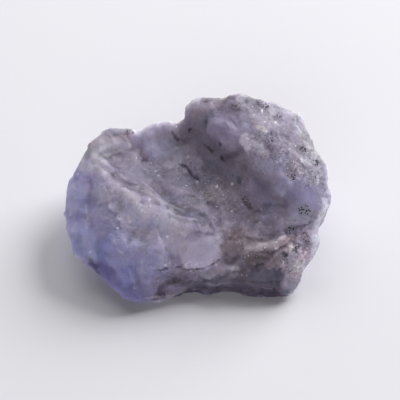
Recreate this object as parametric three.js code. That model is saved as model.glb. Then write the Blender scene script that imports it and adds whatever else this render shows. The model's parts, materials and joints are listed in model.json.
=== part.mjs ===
// Rough tanzanite: one broken crystal lump, lying on a small flat spot.
//
// Millimetres, +Z up. The origin is under the middle of the stone, on the surface that it rests on.
// X runs from the low, thin end (-) to the high, thick end (+), and -Y is the broken front.
//
// The stone is described by one field: negative inside it, positive outside. The field starts as a wall
// that follows the rim, a top that follows a relief map, and an underside that lifts away from the flat
// spot. Creases, steps, bites and ribs shape it further, and fracture scoops break up every face. A net of
// triangles is then drawn over the place where the field is zero.

import * as THREE from "three";
import { ImprovedNoise } from "three/addons/math/ImprovedNoise.js";

// ---------------------------------------------------------------- driving sizes

const NET_CELL = 0.6; // side of one cell of the net of triangles
const NET_LOW = [-14.2, -10.0, -0.9]; // the box that the net is drawn in
const NET_HIGH = [14.2, 10.2, 13.4];
const SHEET_GAP = 0.02; // how far two parts of the surface are held apart where they nearly touch
const EVENING_ROUNDS = 6; // how many times the net is evened out and laid back on the surface
const EVENING_SHARE = 0.4; // how far each round moves a point towards the middle of its neighbours
const LONGEST_MOVE = NET_CELL / 4; // how far one round may move a point to lay it back
const SLOPE_STEP = 0.02; // the distance that the field's slope is measured over
const GENTLEST_SLOPE = 0.5; // a gentler slope than this is taken as this one, so that no point overshoots

const RIM_OUTSET = 0.4; // the edge roundings and scoops take this much back off the rim
const TOP_EDGE = 0.9; // rounding where the top turns down into the sides
const FOOT_EDGE = 0.4; // rounding where the sides turn under
const FEATURE_EDGE = 0.35; // rounding where a bite or a rib meets the stone
const TOP_GRADE = 0.8; // makes a distance of the height over the top, for the slopes that the top has
const STEP_WIDTH = 0.6; // the width over which a step in the top drops

// The rim is the widest line round the stone. Each stretch has its points [x, y, z] and how far the wall
// draws in for each millimetre above and below them.
const RIM = {
  thickEnd: {
    above: 0.55, below: 0.45,
    points: [[13.3, 0.1, 6.6], [13.0, 1.3, 7.6], [12.6, 2.7, 8.3], [11.9, 2.9, 8.6], [11.3, 3.6, 9.0]],
  },
  humpBack: {
    above: 0.4, below: 0.16,
    points: [
      [11.0, 4.3, 9.1], [10.8, 5.6, 9.4], [10.2, 6.8, 9.7], [9.1, 7.4, 10.1], [8.2, 8.0, 10.5],
      [7.4, 8.4, 10.8], [6.8, 8.4, 11.0], [5.8, 8.7, 11.2], [4.7, 8.8, 11.3], [3.3, 8.7, 11.3],
      [1.5, 9.0, 11.1], [0.2, 8.7, 10.8], [-1.1, 8.2, 10.3], [-1.6, 8.1, 9.4],
    ],
  },
  thinEndBack: {
    above: 0.5, below: 0.2,
    points: [
      [-2.1, 8.2, 8.7], [-2.8, 8.4, 8.2], [-3.6, 8.3, 7.8], [-5.0, 7.9, 7.5], [-6.7, 8.0, 7.2],
      [-8.4, 8.2, 7.0], [-9.5, 7.8, 6.8], [-10.4, 6.9, 6.5], [-10.9, 5.8, 6.2], [-11.3, 4.6, 5.8],
    ],
  },
  thinEnd: {
    above: 0.9, below: 0.9,
    points: [
      [-12.2, 4.1, 5.4], [-13.3, 3.4, 4.9], [-13.1, 1.5, 4.5], [-13.2, -0.4, 4.0], [-12.9, -2.1, 3.8],
      [-12.6, -3.6, 3.5], [-12.5, -5.0, 3.2], [-12.4, -6.6, 2.9], [-10.9, -6.7, 2.6],
    ],
  },
  frontLobe: {
    above: 0.35, below: 0.6,
    points: [
      [-10.1, -6.5, 2.0], [-9.4, -7.1, 1.5], [-8.9, -7.9, 1.1], [-8.4, -9.1, 0.9], [-7.0, -9.4, 0.7],
      [-5.4, -8.7, 0.7], [-3.9, -7.8, 0.6], [-2.5, -7.3, 0.5],
    ],
  },
  brokenFront: {
    above: 0.2, below: 0.6,
    points: [
      [-1.4, -7.0, 0.3], [-0.4, -7.0, 0.2], [1.8, -7.6, 0.2], [4.2, -7.8, 0.2], [6.6, -8.0, 0.2],
      [8.2, -8.4, 0.3], [8.9, -8.0, 0.5], [9.5, -7.2, 1.0],
    ],
  },
  thickEndFront: {
    above: 0.3, below: 0.5,
    points: [
      [9.9, -6.6, 1.6], [10.1, -6.1, 2.3], [10.5, -5.5, 2.8], [10.9, -5.4, 3.2], [11.3, -5.3, 3.7],
      [11.6, -4.5, 4.2], [11.8, -3.3, 4.7], [11.3, -2.7, 5.2], [12.3, -2.0, 5.6], [12.9, -0.9, 6.1],
    ],
  },
};

// The relief map: lines along the ridges, shelves and hollows of the top, each point [x, y, height].
const RELIEF = {
  backCrest: [
    [-1.1, 8.2, 10.3], [0.3, 8.1, 10.6], [1.7, 8.0, 10.8], [3.4, 7.8, 10.9], [5.2, 7.6, 11.0],
    [6.9, 7.0, 10.6], [8.9, 6.2, 10.1], [10.0, 5.4, 9.7],
  ],
  saddle: [[-0.9, 7.2, 9.7], [0.4, 7.1, 10.0], [1.7, 6.9, 10.3], [3.2, 6.7, 10.5]],
  boss: [[1.5, 5.8, 10.0], [2.7, 5.1, 10.1], [3.8, 4.2, 9.9]],
  humpCrest: [
    [4.2, 5.3, 10.2], [4.8, 3.1, 9.6], [6.2, 2.3, 9.1], [7.7, 1.1, 8.7], [8.8, -0.4, 8.1],
    [9.5, -1.7, 7.3], [10.1, -2.6, 6.4],
  ],
  flank: [[6.3, 5.1, 10.5], [8.0, 3.9, 9.8], [9.9, 2.3, 9.0], [11.1, 0.8, 8.2], [11.0, -1.1, 7.1]],
  humpFace: [
    [-1.1, 7.4, 8.9], [0.1, 6.3, 8.6], [1.6, 4.3, 8.2], [3.1, 2.8, 8.1], [4.6, 2.0, 8.1], [6.3, 0.9, 7.6],
    [8.0, -0.4, 7.2], [9.1, -1.6, 6.7],
  ],
  trough: [
    [-1.9, 8.0, 8.6], [-1.2, 6.6, 7.7], [0.3, 4.6, 7.0], [1.5, 2.6, 6.6], [2.8, 0.6, 6.3],
    [4.4, -1.0, 6.1], [6.1, -2.0, 5.9], [7.9, -2.3, 5.9], [9.4, -2.9, 5.7],
  ],
  backShoulder: [
    [-10.4, 5.9, 6.5], [-9.2, 7.0, 6.7], [-7.8, 7.4, 7.0], [-6.1, 7.5, 7.1], [-4.6, 7.4, 7.4],
    [-3.1, 7.4, 7.9], [-2.5, 7.6, 8.3],
  ],
  basin: [[-8.3, 4.1, 6.3], [-6.1, 4.2, 6.2], [-4.1, 4.5, 6.3], [-2.4, 5.5, 6.9]],
  midBasin: [[-4.3, 2.2, 6.2], [-2.6, 1.8, 6.3], [-0.8, 2.3, 6.4], [0.8, 0.7, 6.2], [1.8, -1.1, 6.0]],
  spur: [
    [-10.2, 4.3, 6.5], [-8.4, 1.8, 6.6], [-6.6, 0.1, 6.6], [-5.3, -1.8, 6.5], [-3.4, -3.3, 6.2],
    [-1.5, -4.4, 5.8], [0.8, -4.1, 5.4],
  ],
  endShoulder: [
    [-11.3, 3.7, 5.7], [-12.0, 2.2, 5.1], [-12.3, 0.0, 4.7], [-11.8, -2.5, 4.3], [-11.1, -4.4, 3.9],
  ],
  endSlope: [[-9.8, 0.3, 6.1], [-9.6, -2.0, 5.8], [-9.1, -4.0, 5.1], [-8.1, -5.8, 4.4], [-6.7, -7.1, 3.4]],
  frontSlope: [[-7.3, -2.3, 6.2], [-6.2, -4.6, 5.6], [-5.3, -6.2, 4.7], [-4.3, -7.1, 4.0]],
  lip: [[-2.9, -6.1, 4.6], [-1.3, -5.8, 4.8], [0.3, -5.8, 4.5], [1.7, -5.3, 4.4]],
  terrace: [[3.4, -1.8, 5.5], [5.1, -2.8, 5.2], [7.2, -2.8, 5.3], [9.4, -3.4, 5.2], [11.0, -3.4, 5.1]],
  ledge: [[3.9, -4.3, 4.7], [5.3, -4.7, 4.6], [6.8, -4.9, 4.5], [8.3, -4.6, 4.8], [9.8, -4.5, 5.0]],
  lowStep: [[4.1, -6.1, 3.3], [5.6, -6.4, 3.1], [7.2, -6.3, 3.1], [8.9, -6.1, 3.3]],
};
const KNOT_SPACING = 1.6; // spacing of the knots that the relief lines hand to the height map
const RELIEF_SLACK = 0.15; // how loosely the height map follows its knots, to keep it from rippling

// Raised (+) and sunk (-) lines on the top: the line [x, y], the half width and the height at its middle.
const CREASES = {
  paleRidge: { width: 0.8, height: 0.3, line: [[-10.4, 4.7], [-8.4, 1.9], [-6.6, 0.1], [-5.2, -2.0]] },
  secondRidge: { width: 0.7, height: 0.4, line: [[-4.9, 0.5], [-3.6, -2.0], [-2.1, -3.2], [0.2, -3.5]] },
  secondGroove: { width: 0.7, height: -0.5, line: [[-4.3, 1.3], [-3.0, -0.4], [-1.2, -1.8]] },
  crack: { width: 0.4, height: -0.4, line: [[-1.3, 3.6], [-0.5, 2.5], [0.3, 1.4]] },
  cornerBlockFoot: { width: 0.4, height: -0.35, line: [[-9.6, 4.9], [-7.8, 5.4], [-6.2, 5.8]] },
  blockGap: { width: 0.5, height: -0.6, line: [[-5.9, 8.2], [-5.6, 6.3], [-5.2, 4.9]] },
  secondBlockFoot: { width: 0.4, height: -0.3, line: [[-5.2, 4.9], [-4.1, 4.3], [-2.8, 4.6]] },
  rightGroove: { width: 0.55, height: -0.55, line: [[6.4, -3.5], [8.9, -3.5], [10.4, -3.1], [12.2, -2.7]] },
  paleLedge: { width: 0.5, height: 0.25, line: [[4.1, -4.6], [5.4, -5.0], [6.9, -5.0], [8.4, -4.7]] },
  dishSill: { width: 0.5, height: 0.3, line: [[6.2, -2.3], [7.6, -2.2], [9.0, -2.6]] },
  dishLeftSide: { width: 0.4, height: -0.3, line: [[4.2, 1.6], [4.3, 0.6], [4.7, -0.5], [5.5, -1.5]] },
  dishFoot: { width: 0.4, height: -0.35, line: [[5.5, -1.5], [6.6, -1.8], [7.9, -1.5], [8.8, -0.9]] },
  underBoss: { width: 0.45, height: -0.5, line: [[1.6, 4.5], [3.0, 3.3], [4.5, 2.5], [6.0, 1.3]] },
};

// Drops in the top: to the right of the line [x, y] the ground is lower by the drop, and it comes back over
// the reach.
const STEPS = {
  slabEdge: {
    drop: 0.6, reach: 3.0,
    line: [[2.0, -0.8], [2.8, -1.9], [2.5, -3.3], [2.9, -4.6], [2.7, -6.2]],
  },
};

// Material broken out of the stone (bites) and left standing on it (ribs): rounds along a line [x, y, z].
const BITES = {
  dish: { radius: 3.2, line: [[6.2, -1.3, 9.4]] },
  underLip: {
    radius: 0.7,
    line: [[-3.2, -7.7, 3.2], [-0.6, -7.3, 2.9], [1.2, -7.0, 3.0], [2.9, -6.3, 3.5]],
  },
  frontFoot: { radius: 1.0, line: [[0.8, -8.5, 1.1], [4.0, -8.3, 1.0], [7.3, -8.7, 1.4]] },
  frontLobePocket: { radius: 0.6, line: [[-3.3, -8.2, 1.7], [-2.2, -7.9, 1.6]] },
  slabCornerPocket: { radius: 0.8, line: [[3.1, -6.0, 4.2], [4.3, -6.5, 3.8]] },
  ledgeHollow: { radius: 0.8, line: [[5.2, -6.5, 3.9], [6.8, -6.6, 3.8]] },
  thinEndSeam: { radius: 1.1, line: [[-10.8, -6.3, 1.2], [-9.4, -7.6, 0.2]] },
  thinEndScallop: { radius: 5.0, line: [[-5.5, 12.3, 3.2]] },
  humpScallop: { radius: 4.8, line: [[4.5, 13.1, 5.6]] },
  thickEndScallop: { radius: 5.0, line: [[16.9, 2.6, 3.9]] },
  cornerDimple: { radius: 0.7, line: [[-8.0, 4.2, 6.8]] },
  ridgeDimple: { radius: 0.6, line: [[-6.6, 1.8, 6.9]] },
  basinDimple: { radius: 0.6, line: [[-5.3, 3.0, 6.7]] },
  frontChip: { radius: 2.0, line: [[-6.4, -4.2, 7.3], [-5.0, -4.5, 7.2]] },
  slopeChip: { radius: 1.8, line: [[-8.7, -0.8, 7.8], [-7.5, -2.4, 7.6]] },
  endChip: { radius: 1.8, line: [[-11.0, 1.7, 7.0], [-10.8, -0.2, 6.9]] },
};
const RIBS = {
  humpBoss: { radius: 1.1, line: [[2.2, 5.7, 9.4], [3.4, 4.5, 9.2]] },
  frontLedge: {
    radius: 0.6,
    line: [[-2.2, -7.2, 2.0], [-0.4, -7.0, 1.9], [2.0, -7.0, 2.3], [4.6, -6.6, 2.9]],
  },
  ledgeSpike: { radius: 0.4, line: [[8.7, -5.0, 4.0], [9.3, -4.8, 4.7]] },
};

// Flat breaks across the stone: the direction that each faces, and how far out of the middle it lies.
const BREAKS = {
  humpBack: { facing: [0.35, 0.9, -0.25], out: 9.3 },
  thinEndBack: { facing: [-0.45, 0.85, -0.3], out: 10.2 },
  underThickEnd: { facing: [0.75, 0.2, -0.6], out: 10.1 },
};

// The flat spot under the stone, and how the underside lifts away from it.
const FLAT_SPOT = [[-2.4, -7.0], [7.4, -7.3], [8.6, -4.0], [6.6, 1.6], [1.6, 3.2], [-3.0, 1.0]];
const FLAT_SPOT_DEPTH = 0.6; // how far the underside would go below the flat spot, had it not broken flat
const FLAT_SPOT_EDGE = 1; // the width over which it comes up out of the flat spot
const FLAT_TOLERANCE = 0.02; // points this near to the flat spot's level are laid in it exactly
const UNDERSIDE_RISE = 0.17; // how steeply the underside lifts away outside the flat spot
const UNDERSIDE_CURVE = 1.3; // and how it steepens further out

// The fracture: shallow dishes that meet in crests, in two sizes, drawn out along the crystal's length.
const GRAIN = [0.58, -0.81]; // the crystal's length, in plan
const GRAIN_STRETCH = 1.5;
const SCOOPS = [
  { size: 4.2, depth: 0.4 },
  { size: 2.1, depth: 0.16 },
];
const SCOOP_SINK = 0.45; // how far the middle of a scoop is sunk, in depths
const SCOOP_RISE = 1.5; // how fast a scoop rises from there, in depths for one size away
const FRACTURE_BAND = 2; // the fracture is only worked out this near to the surface
const WAVER = 0.9; // how far the edges of the scoops wander
const WAVER_LENGTH = 2.6; // and over what length
const WAVER_SHIFT = 9; // places the wandering along, across and up in parts of the noise with no likeness

// ---------------------------------------------------------------- helpers

/** The larger of two field values, rounded over a width of r where they meet. */
function smoothMax(a, b, r) {
  const overlap = Math.max(r - Math.abs(a - b), 0) / r;
  return Math.max(a, b) + (overlap * overlap * r) / 4;
}

/** The share of the way from a to b, from 0 to 1, that is nearest to (x, y, z). */
function nearestShare(x, y, z, a, b) {
  const [dx, dy, dz] = [b[0] - a[0], b[1] - a[1], b[2] - a[2]];
  const length = dx * dx + dy * dy + dz * dz;
  const share = length > 0 ? ((x - a[0]) * dx + (y - a[1]) * dy + (z - a[2]) * dz) / length : 0;
  return Math.min(Math.max(share, 0), 1);
}

/** The distance from (x, y, z) to segment ab. */
function segmentDistance(x, y, z, a, b) {
  const share = nearestShare(x, y, z, a, b);
  const dx = x - a[0] - (b[0] - a[0]) * share;
  const dy = y - a[1] - (b[1] - a[1]) * share;
  const dz = z - a[2] - (b[2] - a[2]) * share;
  return Math.sqrt(dx * dx + dy * dy + dz * dz);
}

/** The distance from (x, y, z) to an open line of points, and its side of the line in plan (+1 is left). */
function nearestOnLine(x, y, z, line) {
  let distance = Infinity;
  let side = 1;
  for (let i = Math.min(1, line.length - 1); i < line.length; i++) {
    const [a, b] = [line[Math.max(i - 1, 0)], line[i]];
    const d = segmentDistance(x, y, z, a, b);
    if (d >= distance) continue;
    distance = d;
    side = (b[0] - a[0]) * (y - a[1]) - (b[1] - a[1]) * (x - a[0]) < 0 ? -1 : 1;
  }
  return { distance, side };
}

/** The plan distance to a closed outline, negative inside it, and the nearest segment and share of it. */
function nearestOnOutline(x, y, outline) {
  let inside = false;
  let nearest = { distance: Infinity };
  for (let i = 0; i < outline.length; i++) {
    const [a, b] = [outline[i], outline[(i + 1) % outline.length]];
    const distance = segmentDistance(x, y, 0, a.plan, b.plan);
    if (distance < nearest.distance) nearest = { distance, a, b };
    if (a.plan[1] > y !== b.plan[1] > y) {
      const across = a.plan[0] + ((y - a.plan[1]) / (b.plan[1] - a.plan[1])) * (b.plan[0] - a.plan[0]);
      if (x < across) inside = !inside;
    }
  }
  nearest.share = nearestShare(x, y, 0, nearest.a.plan, nearest.b.plan);
  if (inside) nearest.distance *= -1;
  return nearest;
}

/** Points along a line, about one for each spacing, with its ends. */
function pointsAlong(line, spacing) {
  return line.slice(1).flatMap((b, i) => {
    const a = line[i];
    const count = Math.max(Math.round(Math.hypot(b[0] - a[0], b[1] - a[1]) / spacing), 1);
    const between = (share) => a.map((value, k) => THREE.MathUtils.lerp(value, b[k], share));
    const inner = Array.from({ length: count }, (_, n) => between(n / count));
    return i === line.length - 2 ? [...inner, b] : inner;
  });
}

/** Solves linear equations by elimination. Each row holds the factors, then the value that they make. */
function solve(rows) {
  const count = rows.length;
  for (let column = 0; column < count; column++) {
    let pivot = column;
    for (let row = column + 1; row < count; row++)
      if (Math.abs(rows[row][column]) > Math.abs(rows[pivot][column])) pivot = row;
    [rows[column], rows[pivot]] = [rows[pivot], rows[column]];
    for (let row = column + 1; row < count; row++) {
      const factor = rows[row][column] / rows[column][column];
      for (let k = column; k <= count; k++) rows[row][k] -= factor * rows[column][k];
    }
  }
  const solution = new Array(count).fill(0);
  for (let row = count - 1; row >= 0; row--) {
    let value = rows[row][count];
    for (let k = row + 1; k < count; k++) value -= rows[row][k] * solution[k];
    solution[row] = value / rows[row][row];
  }
  return solution;
}

/** A bent sheet through [x, y, height] knots, as thin metal would take it up (a thin-plate spline). */
function bentSheet(knots, slack) {
  const pull = (dx, dy) => {
    const squared = dx * dx + dy * dy;
    return squared > 0 ? 0.5 * squared * Math.log(squared) : 0;
  };
  const rows = knots.map(([x, y, height], i) => [
    ...knots.map(([u, v], j) => pull(x - u, y - v) + (i === j ? slack : 0)), 1, x, y, height,
  ]);
  const balances = [() => 1, ([x]) => x, ([, y]) => y]; // the pulls hold no lift and no tilt of their own
  for (const balance of balances) rows.push([...knots.map(balance), 0, 0, 0, 0]);
  const factors = solve(rows);
  const [base, slopeX, slopeY] = factors.slice(knots.length);
  return (x, y) => {
    let height = base + slopeX * x + slopeY * y;
    for (let i = 0; i < knots.length; i++) height += factors[i] * pull(x - knots[i][0], y - knots[i][1]);
    return height;
  };
}

/** A repeatable random number from 0 to 1 for a cell of the fracture: a fast wave, read at whole steps. */
function cellRandom(i, j, k, kind) {
  const wave = Math.sin(i * 127.1 + j * 311.7 + k * 74.7 + kind * 53.3) * 43758.5453;
  return wave - Math.floor(wave);
}

// ---------------------------------------------------------------- the stone's field

const inPlan = ([x, y]) => [x, y, 0];
const rimOutline = Object.values(RIM).flatMap(({ above, below, points }) =>
  points.map((point) => ({ plan: inPlan(point), height: point[2], above, below })),
);
const flatOutline = FLAT_SPOT.map((point) => ({ plan: inPlan(point) }));
const creases = Object.values(CREASES).map((crease) => ({ ...crease, line: crease.line.map(inPlan) }));
const steps = Object.values(STEPS).map((step) => ({ ...step, line: step.line.map(inPlan) }));
const bites = Object.values(BITES);
const ribs = Object.values(RIBS);
const reliefKnots = Object.values(RELIEF).flatMap((line) => pointsAlong(line, KNOT_SPACING));
const reliefHeight = bentSheet(reliefKnots, RELIEF_SLACK);
const breaks = Object.values(BREAKS).map(({ facing, out }) => {
  const { x, y, z } = new THREE.Vector3(...facing).normalize();
  return { facing: [x, y, z], out };
});
const noise = new ImprovedNoise();

/** The wall that the rim carries: it draws in above and below the rim line. */
function wallField(x, y, z) {
  const { distance, a, b, share } = nearestOnOutline(x, y, rimOutline);
  const over = z - THREE.MathUtils.lerp(a.height, b.height, share);
  const side = over > 0 ? "above" : "below";
  return distance - RIM_OUTSET + THREE.MathUtils.lerp(a[side], b[side], share) * Math.abs(over);
}

/** The height of the top at (x, y): the relief map with its creases and steps. */
function topHeight(x, y) {
  let height = reliefHeight(x, y);
  for (const { height: rise, width, line } of creases)
    height += rise * Math.exp(-((nearestOnLine(x, y, 0, line).distance / width) ** 2));
  for (const { drop, reach, line } of steps) {
    const { distance, side } = nearestOnLine(x, y, 0, line);
    if (side < 0) height -= drop * Math.min(distance / STEP_WIDTH, 1) * Math.max(1 - distance / reach, 0);
  }
  return height;
}

/** The height of the underside at (x, y): below zero in the flat spot, and lifting away outside it. */
function undersideHeight(x, y) {
  const away = Math.max(nearestOnOutline(x, y, flatOutline).distance, 0);
  const sunk = FLAT_SPOT_DEPTH * Math.max(1 - away / FLAT_SPOT_EDGE, 0);
  return UNDERSIDE_RISE * away ** UNDERSIDE_CURVE - sunk;
}

/** The distance from (x, y, z) to the nearest seed of a lattice with one loose seed in each cell. */
function nearestSeed(x, y, z, kind) {
  const [i, j, k] = [Math.floor(x), Math.floor(y), Math.floor(z)];
  let nearest = Infinity;
  for (let c = k - 1; c <= k + 1; c++)
    for (let b = j - 1; b <= j + 1; b++)
      for (let a = i - 1; a <= i + 1; a++) {
        const dx = a + cellRandom(a, b, c, kind) - x;
        const dy = b + cellRandom(a, b, c, kind + 1) - y;
        const dz = c + cellRandom(a, b, c, kind + 2) - z;
        nearest = Math.min(nearest, dx * dx + dy * dy + dz * dz);
      }
  return Math.sqrt(nearest);
}

/** How deep the fracture bites at a point: round scoops, with crests between them that stand proud. */
function scoopDepth(x, y, z) {
  const [u, v, w] = [x / WAVER_LENGTH, y / WAVER_LENGTH, z / WAVER_LENGTH];
  const waver = (shift) => WAVER * noise.noise(u + shift, v + shift, w);
  const along = (x * GRAIN[0] + y * GRAIN[1] + waver(0)) / GRAIN_STRETCH;
  const across = y * GRAIN[0] - x * GRAIN[1] + waver(WAVER_SHIFT);
  const up = z + waver(2 * WAVER_SHIFT);
  let total = 0;
  for (const { size, depth } of SCOOPS) {
    const away = nearestSeed(along / size, across / size, up / size, size);
    total += depth * (SCOOP_SINK - SCOOP_RISE * away * away);
  }
  return total;
}

/** The stone: negative inside it, positive outside, zero on its surface. */
function stoneField(x, y, z) {
  let field = smoothMax(wallField(x, y, z), (z - topHeight(x, y)) * TOP_GRADE, TOP_EDGE);
  for (const { facing, out } of breaks)
    field = smoothMax(field, x * facing[0] + y * facing[1] + z * facing[2] - out, TOP_EDGE);
  for (const { radius, line } of ribs)
    field = -smoothMax(-field, radius - nearestOnLine(x, y, z, line).distance, FEATURE_EDGE);
  for (const { radius, line } of bites)
    field = smoothMax(field, radius - nearestOnLine(x, y, z, line).distance, FEATURE_EDGE);
  field = smoothMax(field, undersideHeight(x, y) - z, FOOT_EDGE);
  if (Math.abs(field) < FRACTURE_BAND) field += scoopDepth(x, y, z);
  return Math.max(field, -z);
}

// ---------------------------------------------------------------- the net of triangles

const AXES = [[1, 0, 0], [0, 1, 0], [0, 0, 1]];
const CORNERS = [0, 1, 2, 3, 4, 5, 6, 7].map((corner) => [corner & 1, (corner >> 1) & 1, corner >> 2]);
const CELL_EDGES = AXES.flatMap((_, axis) =>
  CORNERS.filter((corner) => !corner[axis]).map((corner) => [corner, corner.with(axis, 1)]),
);

/** The four steps in turn, forward (1) or back (-1), round a face of the grid that is square to an axis. */
function faceCells(axis, way) {
  const u = AXES[(axis + 1) % 3];
  const v = AXES[(axis + 2) % 3];
  return [[0, 0], [1, 0], [1, 1], [0, 1]].map(([m, n]) => u.map((value, k) => way * (m * value + n * v[k])));
}
const FACES = AXES.map((_, axis) => faceCells(axis, 1));
const CELLS_ROUND = AXES.map((_, axis) => faceCells(axis, -1));

/** Parts sheets that would touch along a grid line, where the signs round a face of the grid alternate. */
function partSheets(values, count, at) {
  let changes = 0;
  for (let k = 0; k < count[2] - 1; k++)
    for (let j = 0; j < count[1] - 1; j++)
      for (let i = 0; i < count[0] - 1; i++)
        for (let axis = 0; axis < 3; axis++) {
          const face = FACES[axis].map(([u, v, w]) => at(i + u, j + v, k + w));
          const [a, b, c, d] = face.map((corner) => values[corner] < 0);
          if (a !== c || b !== d || a === b) continue;
          const [weakest] = face.sort((m, n) => Math.abs(values[m]) - Math.abs(values[n]));
          values[weakest] = -Math.sign(values[weakest]) * SHEET_GAP;
          changes++;
        }
  if (changes) partSheets(values, count, at);
}

/** Draws a closed net of quads where the field is zero, with a point in each grid cell that it crosses. */
function surfaceNet(field, low, high, cell) {
  const count = low.map((value, axis) => Math.ceil((high[axis] - value) / cell) + 1);
  const at = (i, j, k) => (k * count[1] + j) * count[0] + i;
  const place = (i, j, k) => [low[0] + i * cell, low[1] + j * cell, low[2] + k * cell];
  const values = new Float64Array(count[0] * count[1] * count[2]);
  for (let k = 0; k < count[2]; k++)
    for (let j = 0; j < count[1]; j++)
      for (let i = 0; i < count[0]; i++) values[at(i, j, k)] = field(...place(i, j, k));
  partSheets(values, count, at);

  const points = [];
  const pointOf = new Map();
  for (let k = 0; k < count[2] - 1; k++)
    for (let j = 0; j < count[1] - 1; j++)
      for (let i = 0; i < count[0] - 1; i++) {
        const sum = new THREE.Vector3();
        let crossings = 0;
        for (const [from, to] of CELL_EDGES) {
          const here = values[at(i + from[0], j + from[1], k + from[2])];
          const there = values[at(i + to[0], j + to[1], k + to[2])];
          if (here < 0 === there < 0) continue;
          sum.add(new THREE.Vector3(...from).lerp(new THREE.Vector3(...to), here / (here - there)));
          crossings++;
        }
        if (!crossings) continue;
        pointOf.set(at(i, j, k), points.length);
        points.push(new THREE.Vector3(...place(i, j, k)).addScaledVector(sum, cell / crossings));
      }

  // Each grid edge that the surface crosses has four cells round it, and their points make a quad.
  const quads = [];
  for (let k = 1; k < count[2] - 1; k++)
    for (let j = 1; j < count[1] - 1; j++)
      for (let i = 1; i < count[0] - 1; i++)
        AXES.forEach((step, axis) => {
          const here = values[at(i, j, k)];
          const there = values[at(i + step[0], j + step[1], k + step[2])];
          if (here < 0 === there < 0) return;
          const around = CELLS_ROUND[axis].map(([u, v, w]) => pointOf.get(at(i + u, j + v, k + w)));
          quads.push(here < 0 ? around : around.reverse());
        });
  return { points, quads };
}

/** Moves a point along the field's slope towards where the field is zero. */
function layOnSurface(point, field) {
  const { x, y, z } = point;
  const here = field(x, y, z);
  const slope = new THREE.Vector3(
    field(x + SLOPE_STEP, y, z) - here,
    field(x, y + SLOPE_STEP, z) - here,
    field(x, y, z + SLOPE_STEP) - here,
  ).divideScalar(SLOPE_STEP);
  const move = here / Math.max(slope.lengthSq(), GENTLEST_SLOPE ** 2);
  point.addScaledVector(slope, -THREE.MathUtils.clamp(move, -LONGEST_MOVE, LONGEST_MOVE));
}

/** Evens out the net's points along the surface, so that its grid doesn't show. */
function evenOut({ points, quads }, field) {
  const neighbours = points.map(() => new Set());
  for (const quad of quads)
    quad.forEach((point, n) => {
      neighbours[point].add(quad[(n + 1) % 4]);
      neighbours[point].add(quad[(n + 3) % 4]);
    });
  for (let round = 0; round < EVENING_ROUNDS; round++) {
    const middles = neighbours.map((around) =>
      [...around].reduce((sum, n) => sum.add(points[n]), new THREE.Vector3()).divideScalar(around.size),
    );
    points.forEach((point, i) => {
      point.lerp(middles[i], EVENING_SHARE);
      layOnSurface(point, field);
    });
  }
}

/** The net's quads as triangles, each cut along its shorter diagonal. */
function trianglesOf({ points, quads }) {
  return quads.flatMap((quad) => {
    const diagonal = (m, n) => points[quad[m]].distanceTo(points[quad[n]]);
    const [a, b, c, d] = diagonal(0, 2) < diagonal(1, 3) ? quad : [quad[1], quad[2], quad[3], quad[0]];
    return [a, b, c, a, c, d];
  });
}

// ---------------------------------------------------------------- the part

const net = surfaceNet(stoneField, NET_LOW, NET_HIGH, NET_CELL);
evenOut(net, stoneField);
for (const point of net.points) if (point.z < FLAT_TOLERANCE) point.z = 0;
const geometry = new THREE.BufferGeometry().setFromPoints(net.points);
geometry.setIndex(trianglesOf(net));
geometry.computeBoundingBox();
const middle = geometry.boundingBox.getCenter(new THREE.Vector3());
geometry.translate(-middle.x, -middle.y, 0);

const stone = new THREE.Mesh(
  geometry,
  new THREE.MeshStandardMaterial({ color: 0x9a93a8, roughness: 0.45, metalness: 0 }),
);
stone.name = "stone";

const part = new THREE.Group();
part.add(stone);
export default part;
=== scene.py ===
"""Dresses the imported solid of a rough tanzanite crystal: its broken surface, its colours and a plain studio.

Lengths are in millimetres unless a name says otherwise, and turn into metres where Blender takes them. Places
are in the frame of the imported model: +X towards the stone's high, thick end, +Y towards its back, +Z up, with
the origin under its middle, on the surface that it rests on.
"""

import json
import logging
import math
from dataclasses import dataclass, field
from enum import Enum
from typing import Any, Iterable

import bpy
import numpy as np
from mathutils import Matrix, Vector, noise

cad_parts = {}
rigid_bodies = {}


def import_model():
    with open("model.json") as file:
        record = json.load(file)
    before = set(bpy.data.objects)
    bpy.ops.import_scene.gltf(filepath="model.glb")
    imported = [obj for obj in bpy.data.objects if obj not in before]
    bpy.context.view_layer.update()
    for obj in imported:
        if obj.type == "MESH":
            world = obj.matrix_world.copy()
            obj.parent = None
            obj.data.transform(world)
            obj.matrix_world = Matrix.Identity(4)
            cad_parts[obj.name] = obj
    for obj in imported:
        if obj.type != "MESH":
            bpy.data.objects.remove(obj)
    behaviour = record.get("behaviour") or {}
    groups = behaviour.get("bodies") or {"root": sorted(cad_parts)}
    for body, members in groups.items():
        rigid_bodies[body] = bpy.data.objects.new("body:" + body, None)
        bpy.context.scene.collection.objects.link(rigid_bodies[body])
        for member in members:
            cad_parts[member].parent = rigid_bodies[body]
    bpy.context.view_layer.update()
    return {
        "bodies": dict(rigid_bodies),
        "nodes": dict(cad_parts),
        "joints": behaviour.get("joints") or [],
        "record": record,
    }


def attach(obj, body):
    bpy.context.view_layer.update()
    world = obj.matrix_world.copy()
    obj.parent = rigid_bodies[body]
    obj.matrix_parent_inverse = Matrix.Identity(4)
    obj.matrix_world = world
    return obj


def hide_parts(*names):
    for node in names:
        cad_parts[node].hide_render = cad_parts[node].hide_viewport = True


log = logging.getLogger("tanzanite")

MM = 0.001  # one millimetre, in metres
PER_MM = 1 / MM
BODY = "root"
NODE = "stone"

Point = tuple[float, float, float]
Tree = bpy.types.NodeTree
Socket = bpy.types.NodeSocket

MIDDLE = (0.5, 0.5, 0.5)  # of what a noise or a cell's colour gives, which runs from 0 to 1


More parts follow.
